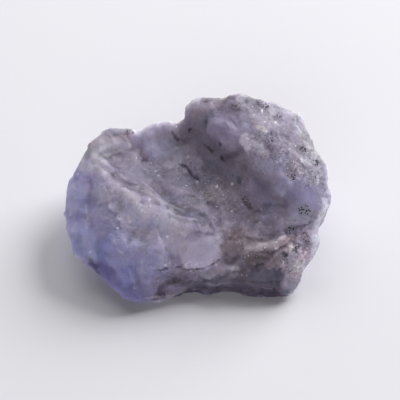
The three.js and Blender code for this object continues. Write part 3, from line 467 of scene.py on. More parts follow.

# Cracks, slits, seams, ribs and spots too fine for the solid. Their dark tone is partly painted shade in the
# cuts and seams, and their light tone partly painted light on the ribs and edges.
MARKS = (
    Mark("trough crack", 0.13, -0.7, 0.18,
         ((-1.7, 3.9, 6.2), (-1.0, 3.7, 6.2), (-0.6, 2.9, 6.2), (0.2, 1.9, 6.2))),
    Mark("back slit", 0.15, -0.68, 0.15, ((-2.3, 7.0, 7.6), (-1.9, 6.2, 7.1))),
    Mark("wall slit", 0.16, -0.86, 0.07, ((0.8, 4.9, 8.0), (1.5, 4.0, 8.0))),
    Mark("small slit", 0.14, -0.51, 0.06, ((4.0, 1.4, 7.2), (4.1, 0.8, 6.8))),
    Mark("line under the buff spot", 0.12, -0.45, 0.05, ((5.1, 3.8, 10.1), (6.1, 3.9, 10.2))),
    Mark("foot of the corner block", 0.2, -0.19, 0.05,
         ((-9.9, 4.4, 6.8), (-9.2, 5.3, 6.2), (-8.4, 5.7, 6.3), (-7.5, 6.0, 6.4))),
    Mark("edge of the block", 0.12, 0.65, -0.04, ((-7.2, 7.0, 6.9), (-6.6, 6.2, 6.4))),
    Mark("dark cleft of the end", 0.25, -0.22, 0.04,
         ((-10.4, 2.2, 5.5), (-10.3, 1.5, 5.4), (-10.4, 0.6, 5.3), (-10.5, -0.1, 5.2))),
    Mark("first notch", 0.2, -0.5, 0.03, ((-8.9, 2.5, 7.0), (-8.3, 2.5, 6.9), (-7.8, 1.4, 7.1))),
    Mark("second notch", 0.25, -0.5, 0.04, ((-7.1, 1.7, 6.7), (-6.7, 1.2, 6.7), (-6.1, 0.9, 6.7))),
    Mark("dark chips", 0.3, -0.17, 0.06, ((-7.3, -1.0, 6.2), (-7.4, -1.5, 5.9), (-8.0, -1.8, 5.9))),
    Mark("shaded chip", 0.4, -0.56, 0.06, ((-6.4, -4.9, 5.4), (-5.9, -4.3, 5.3), (-5.0, -4.9, 5.4))),
    Mark("basin dark", 0.4, -0.65, 0.05, ((-4.3, 0.7, 6.3), (-3.5, 0.0, 6.2))),
    Mark("groove of the ridge", 0.4, -0.25, 0.0, ((-3.0, 1.4, 6.2), (-2.9, 0.2, 6.1), (-2.4, -1.0, 6.4))),
    Mark("filling of the groove", 0.5, 0.0, -0.12, ((-5.0, 1.0, 6.3), (-4.0, -0.2, 6.5), (-2.9, -1.2, 6.6))),
    Mark("worn edge of the groove", 0.22, -0.25, 0.0,
         ((-5.6, 1.6, 6.4), (-4.9, 0.6, 6.9), (-4.4, 0.0, 7.0), (-3.4, -1.2, 7.0), (-2.5, -2.0, 7.0))),
    Mark("lower crack", 0.25, -0.33, 0.08,
         ((0.6, -2.1, 6.0), (1.2, -2.8, 5.5), (1.7, -3.5, 4.9), (1.0, -4.1, 5.1))),
    Mark("rib of the slab", 0.25, 0.36, -0.07, ((2.5, -1.6, 5.7), (2.7, -2.3, 5.3), (2.6, -3.2, 5.0))),
    Mark("left of the boss", 0.3, -0.52, 0.06, ((0.9, 6.7, 9.9), (0.9, 5.6, 9.4))),
    # painted shadow: the dark line under the lip, cut in a little as well
    Mark("under the lip", 0.13, -0.9, 0.16,
         ((-3.8, -7.1, 3.6), (-1.7, -6.6, 3.3), (-0.6, -6.5, 2.9), (0.8, -6.3, 2.9), (2.1, -5.8, 3.3),
          (2.5, -5.0, 4.0))),
    Mark("red lines", 0.18, -0.47, 0.07, ((3.3, -4.0, 4.7), (3.8, -3.5, 4.9), (4.2, -3.3, 5.0))),
    Mark("lower red lines", 0.18, -0.35, 0.07, ((3.1, -4.2, 4.6), (3.9, -4.1, 4.7), (4.3, -4.0, 4.8))),
    Mark("upper layer", 0.25, 0.32, -0.1,
         ((4.7, -4.9, 4.4), (5.8, -5.1, 4.5), (6.6, -4.9, 4.5), (7.8, -4.8, 4.7))),
    Mark("blotch of the layers", 0.22, -0.59, 0.07, ((8.2, -5.5, 4.1), (8.6, -5.6, 4.0))),
    Mark("spike", 0.14, 0.78, -0.07, ((8.9, -5.1, 4.8), (9.0, -5.5, 4.2))),
    Mark("line of the shelf", 0.14, -0.8, 0.06, ((5.7, -6.2, 3.1), (6.3, -6.2, 3.2))),
    Mark("light of the lower ledge", 0.28, 0.78, -0.05,
         ((2.3, -6.2, 2.5), (2.8, -6.1, 2.8), (3.8, -6.4, 3.0))),
    Mark("foot of the ledge", 0.3, -0.46, 0.06, ((0.8, -7.3, 1.0), (2.8, -7.3, 0.9), (4.2, -7.4, 0.7))),
    Mark("right groove", 0.15, -0.5, 0.07,
         ((8.6, -3.3, 4.9), (9.9, -3.1, 5.3), (10.4, -3.1, 5.4), (11.0, -2.8, 5.5))),
    Mark("rim of the crevice", 0.15, 0.38, -0.05,
         ((-4.7, -8.7, 1.5), (-3.1, -8.3, 1.0), (-2.0, -7.9, 0.8), (-1.2, -7.5, 0.8))),
    # painted shadow under the overhanging thin end, cut in a little as well
    Mark("wedge under the end", 0.4, -0.73, 0.09, ((-10.1, -5.9, 3.4), (-9.6, -6.2, 3.3), (-9.5, -6.6, 2.6))),
    Mark("chips of the end", 0.12, 0.29, -0.04, ((-7.0, -4.6, 5.4), (-6.5, -5.4, 5.2))),
    Mark("lower chips of the end", 0.12, 0.75, -0.04, ((-7.4, -5.5, 4.9), (-6.9, -5.9, 4.7))),
    Mark("streak of the lobe", 0.12, 0.35, -0.04, ((-5.9, -7.4, 3.3), (-5.8, -8.3, 2.4))),
    Mark("streak left of the lip", 0.12, 0.72, -0.04, ((-3.7, -6.1, 4.9), (-3.1, -6.3, 4.4))),
    Mark("crest slit", 0.1, -0.8, 0.06, ((6.8, 3.1, 9.8), (7.1, 2.8, 9.7))),
    Mark("cleft of the layers", 0.12, -0.5, 0.08,
         ((7.0, -5.5, 4.0), (7.6, -5.3, 4.2), (8.3, -5.0, 4.6), (8.9, -4.6, 5.0))),
    Mark("top of the layers", 0.16, 0.4, -0.05,
         ((5.8, -4.8, 4.6), (6.8, -4.6, 4.5), (7.7, -4.5, 4.7), (8.3, -4.3, 4.9))),
    Mark("bright chip of the wall", 0.18, 1.0, -0.04, ((-2.2, 4.8, 6.4),)),
    Mark("pocket of the slab", 0.4, -0.45, 0.12, ((2.7, -5.6, 3.5), (3.4, -5.7, 3.4), (4.1, -5.5, 3.6))),
    Mark("side of the pocket", 0.25, -0.35, 0.08, ((2.5, -4.7, 4.2), (2.8, -5.3, 3.8))),
    # painted shade: the crevice of the lobe darkened, and cut in a little
    Mark("crevice of the lobe", 0.3, -0.6, 0.1, ((-3.4, -7.8, 1.8), (-2.7, -7.6, 1.9), (-2.0, -7.4, 2.4))),
    Mark("knot under the boss", 0.2, -0.9, 0.08, ((2.4, 3.3, 8.0), (2.7, 3.0, 7.8))),
    Mark("pit of the boss", 0.14, -0.9, 0.05, ((2.2, 4.1, 9.0), (2.2, 4.1, 8.8))),
    Mark("upper pit of the boss", 0.12, -0.8, 0.04, ((2.0, 4.3, 9.5),)),
    Mark("pit of the wall", 0.16, -0.8, 0.05, ((-0.6, 6.5, 8.5),)),
    Mark("knots of the trough", 0.18, -0.7, 0.06, ((4.8, -0.8, 6.0), (5.2, -1.2, 5.8))),
    Mark("smudge of the dish", 0.3, -0.4, 0.05, ((6.3, -1.3, 6.0), (6.9, -1.2, 6.1))),
    Mark("slit of the slope", 0.1, -0.6, 0.06, ((5.7, 1.9, 8.1), (6.4, 1.4, 7.7))),
    Mark("side of the layers", 0.2, -0.5, 0.08, ((5.6, -5.7, 3.8), (6.2, -5.7, 3.8), (6.8, -5.8, 3.7))),
    Mark("specks of the layers", 0.14, -0.6, 0.05, ((8.2, -5.4, 4.1), (8.6, -5.6, 3.9))),
    Mark("crest of the second ridge", 0.6, -0.15, 0.14,
         ((-2.6, -2.3, 7.1), (-1.5, -2.6, 6.7), (-0.4, -2.7, 6.6), (0.6, -2.1, 6.0))),
    Mark("crest of the ridge", 0.5, -0.1, 0.1, ((-9.2, 3.6, 6.9), (-8.2, 2.6, 7.0), (-7.0, 1.6, 6.9))),
    Mark("filling of the corner block", 0.8, 0.0, -0.14, ((-9.0, 6.0, 6.4), (-8.0, 5.8, 6.4))),
    Mark("crack of the back", 0.12, -0.8, 0.1,
         ((5.2, 8.4, 8.4), (4.6, 8.4, 6.6), (5.4, 8.2, 5.2), (5.0, 7.9, 3.6))),
    Mark("branch of the crack", 0.1, -0.6, 0.06, ((4.6, 8.4, 6.6), (3.4, 8.4, 5.8))),
    Mark("edge of the back layers", 0.16, -0.6, 0.1, ((3.6, 7.8, 3.2), (7.0, 7.4, 3.8), (10.2, 6.0, 4.2))),
    Mark("lower edge of the back layers", 0.14, -0.5, 0.08, ((5.0, 7.5, 1.8), (9.0, 6.0, 2.2))),
    Mark("rib of the back", 0.3, 0.3, -0.1, ((-6.6, 7.6, 5.8), (-5.4, 7.4, 3.6))),
    Mark("hollow of the back", 0.9, -0.2, 0.15, ((-3.2, 7.7, 4.6), (-2.6, 7.3, 3.0))),
    Mark("hollow of the right side", 0.7, -0.3, 0.12, ((10.8, 3.0, 5.6), (10.2, 3.2, 3.2))),
    Mark("knob of the ridge", 0.35, 0.15, -0.12, ((-7.5, 2.3, 6.6),)),
    Mark("second knob of the ridge", 0.4, 0.1, -0.14, ((-5.8, 0.3, 6.9),)),
    Mark("third knob of the ridge", 0.35, 0.1, -0.12, ((-4.7, -0.4, 7.1),)),
    Mark("fourth knob of the ridge", 0.35, 0.0, -0.12, ((-3.5, -1.4, 7.1),)),
    Mark("white specks of the ridge", 0.12, 0.9, -0.02, ((-4.5, -1.1, 7.2), (-4.3, -1.9, 7.0))),
    Mark("white streak of the end", 0.1, 0.7, -0.02, ((-10.7, -0.4, 5.1), (-10.4, -2.2, 5.1))),
    Mark("white chip of the lower side", 0.14, 1.0, -0.04, ((-6.5, -2.5, 6.0), (-6.4, -3.0, 5.8))),
    Mark("streak over the lobe", 0.1, 0.6, -0.03, ((-7.8, -4.6, 5.4), (-7.5, -5.3, 5.1))),
    Mark("shelf of the back", 0.8, 0.0, -0.22, ((-1.0, 8.2, 6.2), (1.5, 8.4, 6.6), (4.0, 8.5, 6.4))),
    Mark("hollow below the shelf", 0.8, -0.05, 0.2, ((-1.0, 7.8, 4.6), (2.0, 8.2, 4.8))),
    Mark("scar of the back", 0.6, -0.1, 0.18, ((6.6, 8.2, 7.8), (8.6, 7.6, 6.4))),
    Mark("scar of the thin end", 0.7, -0.05, 0.15, ((-9.4, 7.4, 4.8), (-7.2, 7.9, 3.6))),
    Mark("rib of the right side", 0.5, 0.05, -0.2, ((10.3, 5.0, 7.4), (10.0, 4.6, 3.4))),
    Mark("step of the right side", 0.4, 0.1, -0.15, ((12.4, 0.6, 5.4), (11.4, 2.2, 5.2))),
    Mark("edge of the grey slab", 0.16, -0.35, 0.05,
         ((0.7, -7.1, 1.9), (1.8, -7.1, 2.2), (2.8, -6.9, 2.6), (4.0, -6.8, 2.9), (4.9, -6.5, 3.0))),
    Mark("layer edge of the foot", 0.14, -0.3, 0.05,
         ((3.4, -7.4, 2.0), (5.1, -7.3, 2.2), (6.8, -7.4, 2.2), (8.3, -7.2, 2.1))),
    Mark("pale layer of the foot", 0.16, 0.3, -0.05, ((0.9, -7.3, 1.7), (2.1, -7.3, 1.6), (3.0, -7.4, 2.0))),
    Mark("lower layer edge of the foot", 0.14, -0.35, 0.05,
         ((1.7, -7.4, 1.0), (3.8, -7.3, 1.1), (5.9, -7.6, 1.2), (8.0, -7.7, 1.5))),
    Mark("dark block of the foot", 0.3, -0.35, 0.04, ((5.5, -6.4, 3.0), (5.9, -6.4, 3.0))),
    Mark("pale chip of the foot", 0.14, 0.6, -0.04, ((5.9, -6.3, 3.1),)),
    Mark("streak of the lower end", 0.12, 0.4, -0.04, ((-6.4, -6.9, 3.7), (-6.0, -7.7, 2.9))),
    Mark("second streak of the lower end", 0.12, 0.35, -0.04, ((-5.1, -6.8, 4.5), (-5.0, -7.4, 3.7))),
)

# Where the break is fine and sugary, smooth and glassy, or in layers.
SUGARY = (
    Patch("flank", 1.8, ((5.4, 3.2, 9.8), (7.0, 2.8, 9.7)), 0.7),
    Patch("lower flank", 1.6, ((8.2, 2.0, 9.5), (9.6, 0.4, 8.8), (11.2, 0.6, 8.1)), 0.8),
    Patch("crown", 1.3, ((6.2, 6.6, 10.7), (6.3, 4.6, 10.5)), 0.4),
    Patch("right rim", 1.5, ((11.3, 2.6, 8.8), (12.2, 0.4, 7.4), (11.6, -1.8, 6.2)), 0.5),
    Patch("right corner", 2.4, ((8.9, -4.4, 4.9), (9.8, -6.0, 3.0))),
    Patch("round the crack", 1.5, ((-1.2, 3.6, 6.2), (0.4, 1.4, 6.2), (1.2, -0.2, 6.0)), 0.6),
    Patch("trough", 3.4, ((1.0, 0.4, 6.0), (3.0, -1.6, 5.8), (4.6, -3.0, 5.2)), 0.45),
    Patch("ridge", 1.8, ((-8.0, 1.4, 7.0), (-4.8, -1.2, 7.1), (-2.4, -2.4, 6.9)), 0.3),
    Patch("foot of the blocks", 1.4, ((-4.8, 4.6, 5.9), (-3.7, 3.0, 6.0)), 0.4),
    Patch("layers", 1.8, ((4.6, -5.0, 4.4), (7.0, -5.2, 4.2)), 0.35),
    Patch("front", 1.6, ((-3.0, -6.8, 3.4), (0.6, -6.4, 3.0)), 0.3),
    Patch("back", 2.2, ((6.0, 8.3, 6.4), (8.6, 7.4, 5.0)), 0.8),
    Patch("back of the thin end", 1.6, ((-8.6, 7.9, 5.2),), 0.6),
)
GLASSY = (
    Patch("thin end", 4.4, ((-12.5, 1.0, 4.4), (-11.5, -4.0, 3.4), (-7.4, -8.0, 1.8)), 0.8),
    Patch("boss", 1.8, ((2.4, 5.2, 10.4), (4.0, 4.6, 10.3)), 0.8),
    Patch("dish", 1.6, ((6.4, 0.4, 6.8), (8.0, -0.2, 7.0)), 0.7),
    Patch("blue window", 1.5, ((9.6, -1.0, 7.7), (11.0, -1.4, 6.8)), 0.9),
    Patch("blocks", 1.9, ((-8.8, 6.6, 6.8), (-4.2, 7.0, 7.2)), 0.9),
    Patch("wall", 2.2, ((-0.6, 6.6, 8.8), (2.6, 3.4, 8.2)), 0.4),
    Patch("back wall", 2.4, ((0.4, 8.2, 5.4), (2.4, 8.2, 3.4)), 0.8),
    Patch("lip", 1.5, ((-1.2, -5.6, 4.8), (1.2, -5.4, 4.5)), 0.8),
    Patch("foot", 1.5, ((5.0, -7.2, 2.4), (8.0, -7.2, 2.2)), 0.5),
    Patch("ridge", 1.4, ((-9.0, 3.0, 6.9), (-6.4, 0.2, 6.9), (-4.4, -1.4, 7.2), (-2.0, -2.8, 6.8)), 0.6),
)
LAYERED = (
    Patch("ledge", 2.0, ((4.0, -4.4, 4.8), (6.4, -5.0, 4.2), (9.0, -4.9, 4.4))),
    Patch("front", 1.4, ((-2.6, -7.4, 2.4), (1.4, -7.0, 2.4), (4.0, -6.8, 2.8)), 0.8),
    Patch("back", 2.0, ((4.4, 8.0, 2.6), (8.0, 7.0, 3.2), (10.0, 5.8, 3.4))),
    Patch("back of the hump", 1.8, ((-3.0, 8.0, 5.4), (2.0, 8.5, 7.6), (6.0, 8.4, 8.2)), 0.7),
    Patch("right side", 1.6, ((10.4, 5.6, 6.0), (10.2, 3.6, 5.0)), 0.8),
)

# Where the crystal broke away from its vein, and the fracture is coarse.
RUGGED_SOFTNESS = 0.9
RUGGED = (
    Patch("back of the hump", 5.0, ((-0.6, 8.2, 4.6), (3.0, 8.4, 4.8), (8.0, 7.6, 4.8))),
    Patch("back of the thin end", 3.4, ((-9.6, 7.0, 3.0), (-5.4, 7.6, 3.0))),
    Patch("right side", 3.6, ((10.4, 4.8, 4.4), (11.4, 2.4, 4.0))),
)

# Clusters of graphite flecks that the crystal took in.
GRAPHITE_SOFTNESS = 0.3
GRAPHITE = (
    Patch("corner block", 0.34, ((-6.8, 7.4, 7.1), (-6.4, 7.6, 7.1))),
    Patch("back wall", 0.28, ((-0.6, 6.5, 8.4),)),
    Patch("under the boss", 0.3, ((2.5, 3.2, 7.9),), 0.9),
    Patch("side of the boss", 0.2, ((2.2, 4.1, 9.0),)),
    Patch("crown", 0.45, ((3.6, 7.3, 10.8), (4.0, 7.3, 10.9)), 0.6),
    Patch("top edge", 0.45, ((5.9, 8.2, 11.0), (6.4, 7.9, 10.8), (6.8, 7.6, 10.7))),
    Patch("right of the crown", 0.38, ((8.0, 6.7, 10.4),), 0.9),
    Patch("upper rim", 0.32, ((10.8, 4.7, 9.3),), 0.9),
    Patch("upper flank", 0.3, ((10.2, 3.2, 9.2), (10.4, 3.3, 9.2)), 0.9),
    Patch("flank", 0.38, ((11.4, 2.0, 8.7),)),
    Patch("middle of the flank", 0.32, ((8.1, 2.5, 9.7),), 0.8),
    Patch("beside the blue window", 0.34, ((9.2, 0.1, 8.7),)),
    Patch("lower flank", 0.42, ((10.0, -2.3, 6.7), (10.4, -2.2, 6.8), (10.6, -2.4, 6.5))),
    Patch("right rim", 0.28, ((12.3, 0.8, 7.4),), 0.8),
    Patch("end of the groove", 0.38, ((8.9, -3.3, 4.9), (9.1, -3.2, 5.1))),
    Patch("below the groove", 0.34, ((10.3, -3.8, 5.0), (10.5, -4.3, 4.8)), 0.7),
    Patch("beside the spike", 0.32, ((9.3, -5.2, 4.7), (9.4, -5.4, 4.4)), 0.9),
    Patch("lower layers", 0.26, ((8.2, -6.0, 3.5), (8.4, -5.6, 4.0)), 0.6),
    Patch("knot of the trough", 0.34, ((4.7, -0.5, 6.1), (5.1, -1.1, 5.8)), 0.6),
    Patch("foot of the layers", 0.26, ((8.0, -6.5, 2.9),), 0.8),
    Patch("crest", 0.24, ((6.9, 3.0, 9.8), (7.2, 4.4, 10.2)), 0.5),
    Patch("trough", 0.26, ((0.9, 0.5, 6.1), (1.7, -0.3, 6.2)), 0.35),
    Patch("upper back", 0.4, ((7.4, 7.8, 6.2),)),
    Patch("lower back", 0.35, ((1.2, 8.1, 2.6),)),
    Patch("back of the thin end", 0.35, ((-7.4, 7.7, 3.4),)),
)

# Painted glints: spots of near-white laid into the colour where small cleavage faces would throw the light
# back; they are made less rough, too.
GLINT_RADIUS = 0.16
GLINT_SOFTNESS = 0.9
PAINTED_GLINTS = (
    (6.4, 7.0, 10.6), (6.6, 5.6, 10.5), (7.7, 5.8, 10.3), (8.1, -4.1, 4.8), (0.1, 1.8, 6.1), (-0.8, 4.5, 6.7),
    (-4.5, 4.5, 5.8), (-4.0, 3.3, 6.0), (-3.7, 2.7, 6.0), (-4.4, -1.4, 7.2), (-4.3, -2.0, 6.9),
    (-6.3, -3.0, 5.8), (-10.0, -5.2, 4.0), (-2.9, -6.6, 3.8), (1.9, -6.0, 3.0), (10.1, 1.7, 9.1),
    (2.0, 0.8, 6.4), (3.4, 0.9, 6.8), (8.3, -6.0, 3.5), (-11.7, 3.4, 5.4), (7.6, -4.5, 4.6),
    (-5.1, -2.4, 6.8), (-7.4, -3.6, 5.6), (-2.7, -4.7, 5.7), (8.2, -3.9, 4.8), (6.8, 8.0, 6.0),
    (-1.4, 7.9, 5.2), (8.8, 7.2, 4.4), (3.0, 8.4, 7.6), (-6.8, 7.6, 4.4),
)


# ---------------------------------------------------------------- finishes


@dataclass(frozen=True)
class Field:
    """A smooth random field, such as the one that clouds the crystal."""

    length: float  # that it changes over
    detail: float  # how many times a finer one is laid over it

    def over(self, places: Socket) -> tuple[Socket, float, float]:
        """Gives the first inputs of a noise node."""
        return places, 1 / self.length, self.detail


@dataclass(frozen=True)
class Chips:
    """One size of the shallow scoops that a break leaves in a crystal, each tilted its own way."""

    spacing: float
    scoop: float  # depth of a scoop
    tilt: float  # average slope of a scoop


@dataclass(frozen=True)
class BrokenCrystal:
    """The relief of broken tanzanite: an uneven to shell-like fracture, drawn out along the crystal."""

    chips: tuple[Chips, ...] = (Chips(2.1, 0.03, 0.025), Chips(0.95, 0.012, 0.03), Chips(0.42, 0.005, 0.035))
    scoop_rise: float = 3.0  # depths that a scoop climbs from its middle to one spacing away
    tilt_gain: float = 4.0  # makes a whole tilt of a cell's lean, which averages a quarter
    grain_turn: float = math.radians(-54.4)  # the crystal's length, seen from above, from +X
    grain_stretch: float = 1.5
    waver: float = 0.7  # how far the chips, grains and layers stray at most
    waver_field: Field = Field(2.2, 3.0)
    lumps: float = 0.025  # height of the rolling lumps under the chips
    lump_field: Field = Field(1.6, 4.0)
    sugar_grain: float = 0.3  # size of the grains where the break is sugary
    sugar_height: float = 0.02
    layer_height: float = 0.05  # height of the steps where it is in layers
    layer_spacing: Point = (2.6, 1.0, 0.34)
    layer_field: Field = Field(1.0, 2.0)  # in layer spacings
    glassy_share: float = 0.6  # how much of the relief a glassy face lacks
    rugged_gain: float = 1.3  # how many times its height a coarse break adds to it
    rest_gap: float = 0.02  # the relief starts this much above the flat spot
    rest_rise: float = 0.5  # and has its full height from here
    lowest: Point = (-1.0, -1.0, 0.0)  # x, y and z of a point, in metres, of which only the floor's counts
    crest_rounds: int = 6  # rounds of blurring that tell a fine crest from its surroundings
    swell_rounds: int = 60  # and a broad one

    def nodes(self) -> Tree:
        """Builds the nodes that raise the relief and note how far each point stands out of its surroundings.

        Returns:
            The node tree, for a Nodes modifier.
        """
        tree = bpy.data.node_groups.new("broken crystal", "GeometryNodeTree")
        for way in ("INPUT", "OUTPUT"):
            tree.interface.new_socket("Geometry", in_out=way, socket_type="NodeSocketGeometry")
        smooth = add_node(tree, "NodeGroupInput")
        place = add_node(tree, "GeometryNodeInputPosition")
        facing = add_node(tree, "GeometryNodeInputNormal")
        offset = add_node(tree, "VectorMath", facing, self.height(tree, place), operation="SCALE")
        moved = add_node(tree, "VectorMath", place, offset, operation="ADD")
        above = add_node(tree, "VectorMath", moved, self.lowest, operation="MAXIMUM")
        shape = add_node(tree, "GeometryNodeSetPosition", smooth, inputs={"Position": above})
        for mask, rounds in zip(CRESTS, (self.crest_rounds, self.swell_rounds)):
            shape = self.note(tree, shape, mask, rounds)
        add_node(tree, "NodeGroupOutput", shape)
        return tree

    def note(self, tree: Tree, shape: Socket, mask: Mask, rounds: int) -> Socket:
        """Stores how far each point stands out of its surroundings, in millimetres.

        Args:
            tree: The tree that the nodes go into.
            shape: The shape.
            mask: What the value is stored as.
            rounds: The rounds of blurring that make the surroundings.

        Returns:
            The shape with the value on it.
        """
        place = add_node(tree, "GeometryNodeInputPosition")
        facing = add_node(tree, "GeometryNodeInputNormal")
        middle = add_node(tree, "GeometryNodeBlurAttribute", place, rounds, data_type="FLOAT_VECTOR")
        apart = add_node(tree, "VectorMath", place, middle, operation="SUBTRACT")
        out = add_node(tree, "VectorMath", apart, facing, operation="DOT_PRODUCT")
        noted = {"Name": mask.value, "Value": add_node(tree, "Math", out, PER_MM, operation="MULTIPLY")}
        return add_node(tree, "GeometryNodeStoreNamedAttribute", shape, inputs=noted, data_type="FLOAT")

    def height(self, tree: Tree, place: Socket) -> Socket:
        """Adds the nodes that work out the height of the relief.

        Args:
            tree: The tree that they go into.
            place: The place of a point, in metres.

        Returns:
            The socket with the height, in metres.
        """
        masks = {
            mask: add_node(tree, "GeometryNodeInputNamedAttribute", mask.value, data_type="FLOAT")
            for mask in (Mask.CUT, Mask.SUGAR, Mask.GLASSY, Mask.LAYERED, Mask.RUGGED)
        }
        in_mm = add_node(tree, "VectorMath", place, PER_MM, operation="SCALE")
        stray = add_node(tree, "TexNoise", *self.waver_field.over(in_mm)).node.outputs["Color"]
        stray = add_node(tree, "VectorMath", stray, MIDDLE, operation="SUBTRACT")
        strayed = add_node(tree, "VectorMath", stray, (2 * self.waver,) * 3, in_mm, operation="MULTIPLY_ADD")

        total = self.chipped(tree, strayed)
        gain = add_node(tree, "Math", masks[Mask.GLASSY], -self.glassy_share, 1.0, operation="MULTIPLY_ADD")
        gain = add_node(tree, "Math", masks[Mask.RUGGED], self.rugged_gain, gain, operation="MULTIPLY_ADD")
        total = add_node(tree, "Math", total, gain, operation="MULTIPLY")

        grains = add_node(tree, "TexVoronoi", strayed, 1 / self.sugar_grain).node.outputs["Color"]
        squashed = tuple(1 / spacing for spacing in self.layer_spacing)
        strata = add_node(tree, "VectorMath", strayed, squashed, operation="MULTIPLY")
        steps = add_node(tree, "TexNoise", *self.layer_field.over(strata))
        for rise, height, mask in (
            (grains, self.sugar_height, Mask.SUGAR),
            (steps, self.layer_height, Mask.LAYERED),
        ):
            rise = add_node(tree, "Math", rise, 2 * height, -height, operation="MULTIPLY_ADD")
            rise = add_node(tree, "Math", rise, masks[mask], operation="MULTIPLY")
            total = add_node(tree, "Math", total, rise, operation="ADD")
        total = add_node(tree, "Math", total, masks[Mask.CUT], operation="SUBTRACT")

        level = add_node(tree, "SeparateXYZ", in_mm).node.outputs["Z"]
        grown = add_node(tree, "MapRange", level, self.rest_gap, self.rest_rise)
        total = add_node(tree, "Math", total, grown, operation="MULTIPLY")
        return add_node(tree, "Math", total, MM, operation="MULTIPLY")

    def chipped(self, tree: Tree, strayed: Socket) -> Socket:
        """Adds the lumps and the chips, both drawn out along the crystal's length.

        Args:
            tree: The tree that the nodes go into.
            strayed: The place of a point, in millimetres, led a little astray.

        Returns:
            The socket with their height, in millimetres.
        """
        turn = {"Angle": -self.grain_turn}
        turned = add_node(tree, "VectorRotate", strayed, inputs=turn, rotation_type="Z_AXIS")
        along = add_node(tree, "VectorMath", turned, (1 / self.grain_stretch, 1.0, 1.0), operation="MULTIPLY")
        total = add_node(tree, "TexNoise", *self.lump_field.over(along))
        total = add_node(tree, "Math", total, 2 * self.lumps, -self.lumps, operation="MULTIPLY_ADD")
        for chip in self.chips:
            away = add_node(tree, "TexVoronoi", along, 1 / chip.spacing)
            rise = add_node(tree, "Math", away, 2.0, operation="POWER")
            climb, tilt = self.scoop_rise * chip.scoop, self.tilt_gain * chip.tilt
            rise = add_node(tree, "Math", rise, climb, -chip.scoop, operation="MULTIPLY_ADD")
            slope = add_slope(tree, along, away.node)
            rise = add_node(tree, "Math", slope, tilt, rise, operation="MULTIPLY_ADD")
            total = add_node(tree, "Math", total, rise, operation="ADD")
        return total


@dataclass(frozen=True)
class Cloud:
    """One size of the cloudiness in the crystal."""

    haze: Field
    strength: float  # how much lighter and darker it makes the colour, as a share


@dataclass(frozen=True)
class Mosaic:
    """One size of the small facets, each a little lighter or darker than the next."""

    size: float  # of a facet
    strength: float  # how much lighter and darker, as a share
    contrast: float = 1.0  # the power, an odd one, that leaves most of them plain and a few of them strong


@dataclass(frozen=True)
class Grit:
    """Scattered dots of one kind, one to a cell at most."""

    name: str
    colour: str
    spacing: float  # size of a cell
    radius: float  # of a dot
    chance: float  # share of the cells that hold one
    strength: float
    stretch: Point = (1.0, 1.0, 1.0)  # how long a dot is drawn out along each axis
    least: float = 0.0  # the part of that share which is there where the break isn't sugary, too


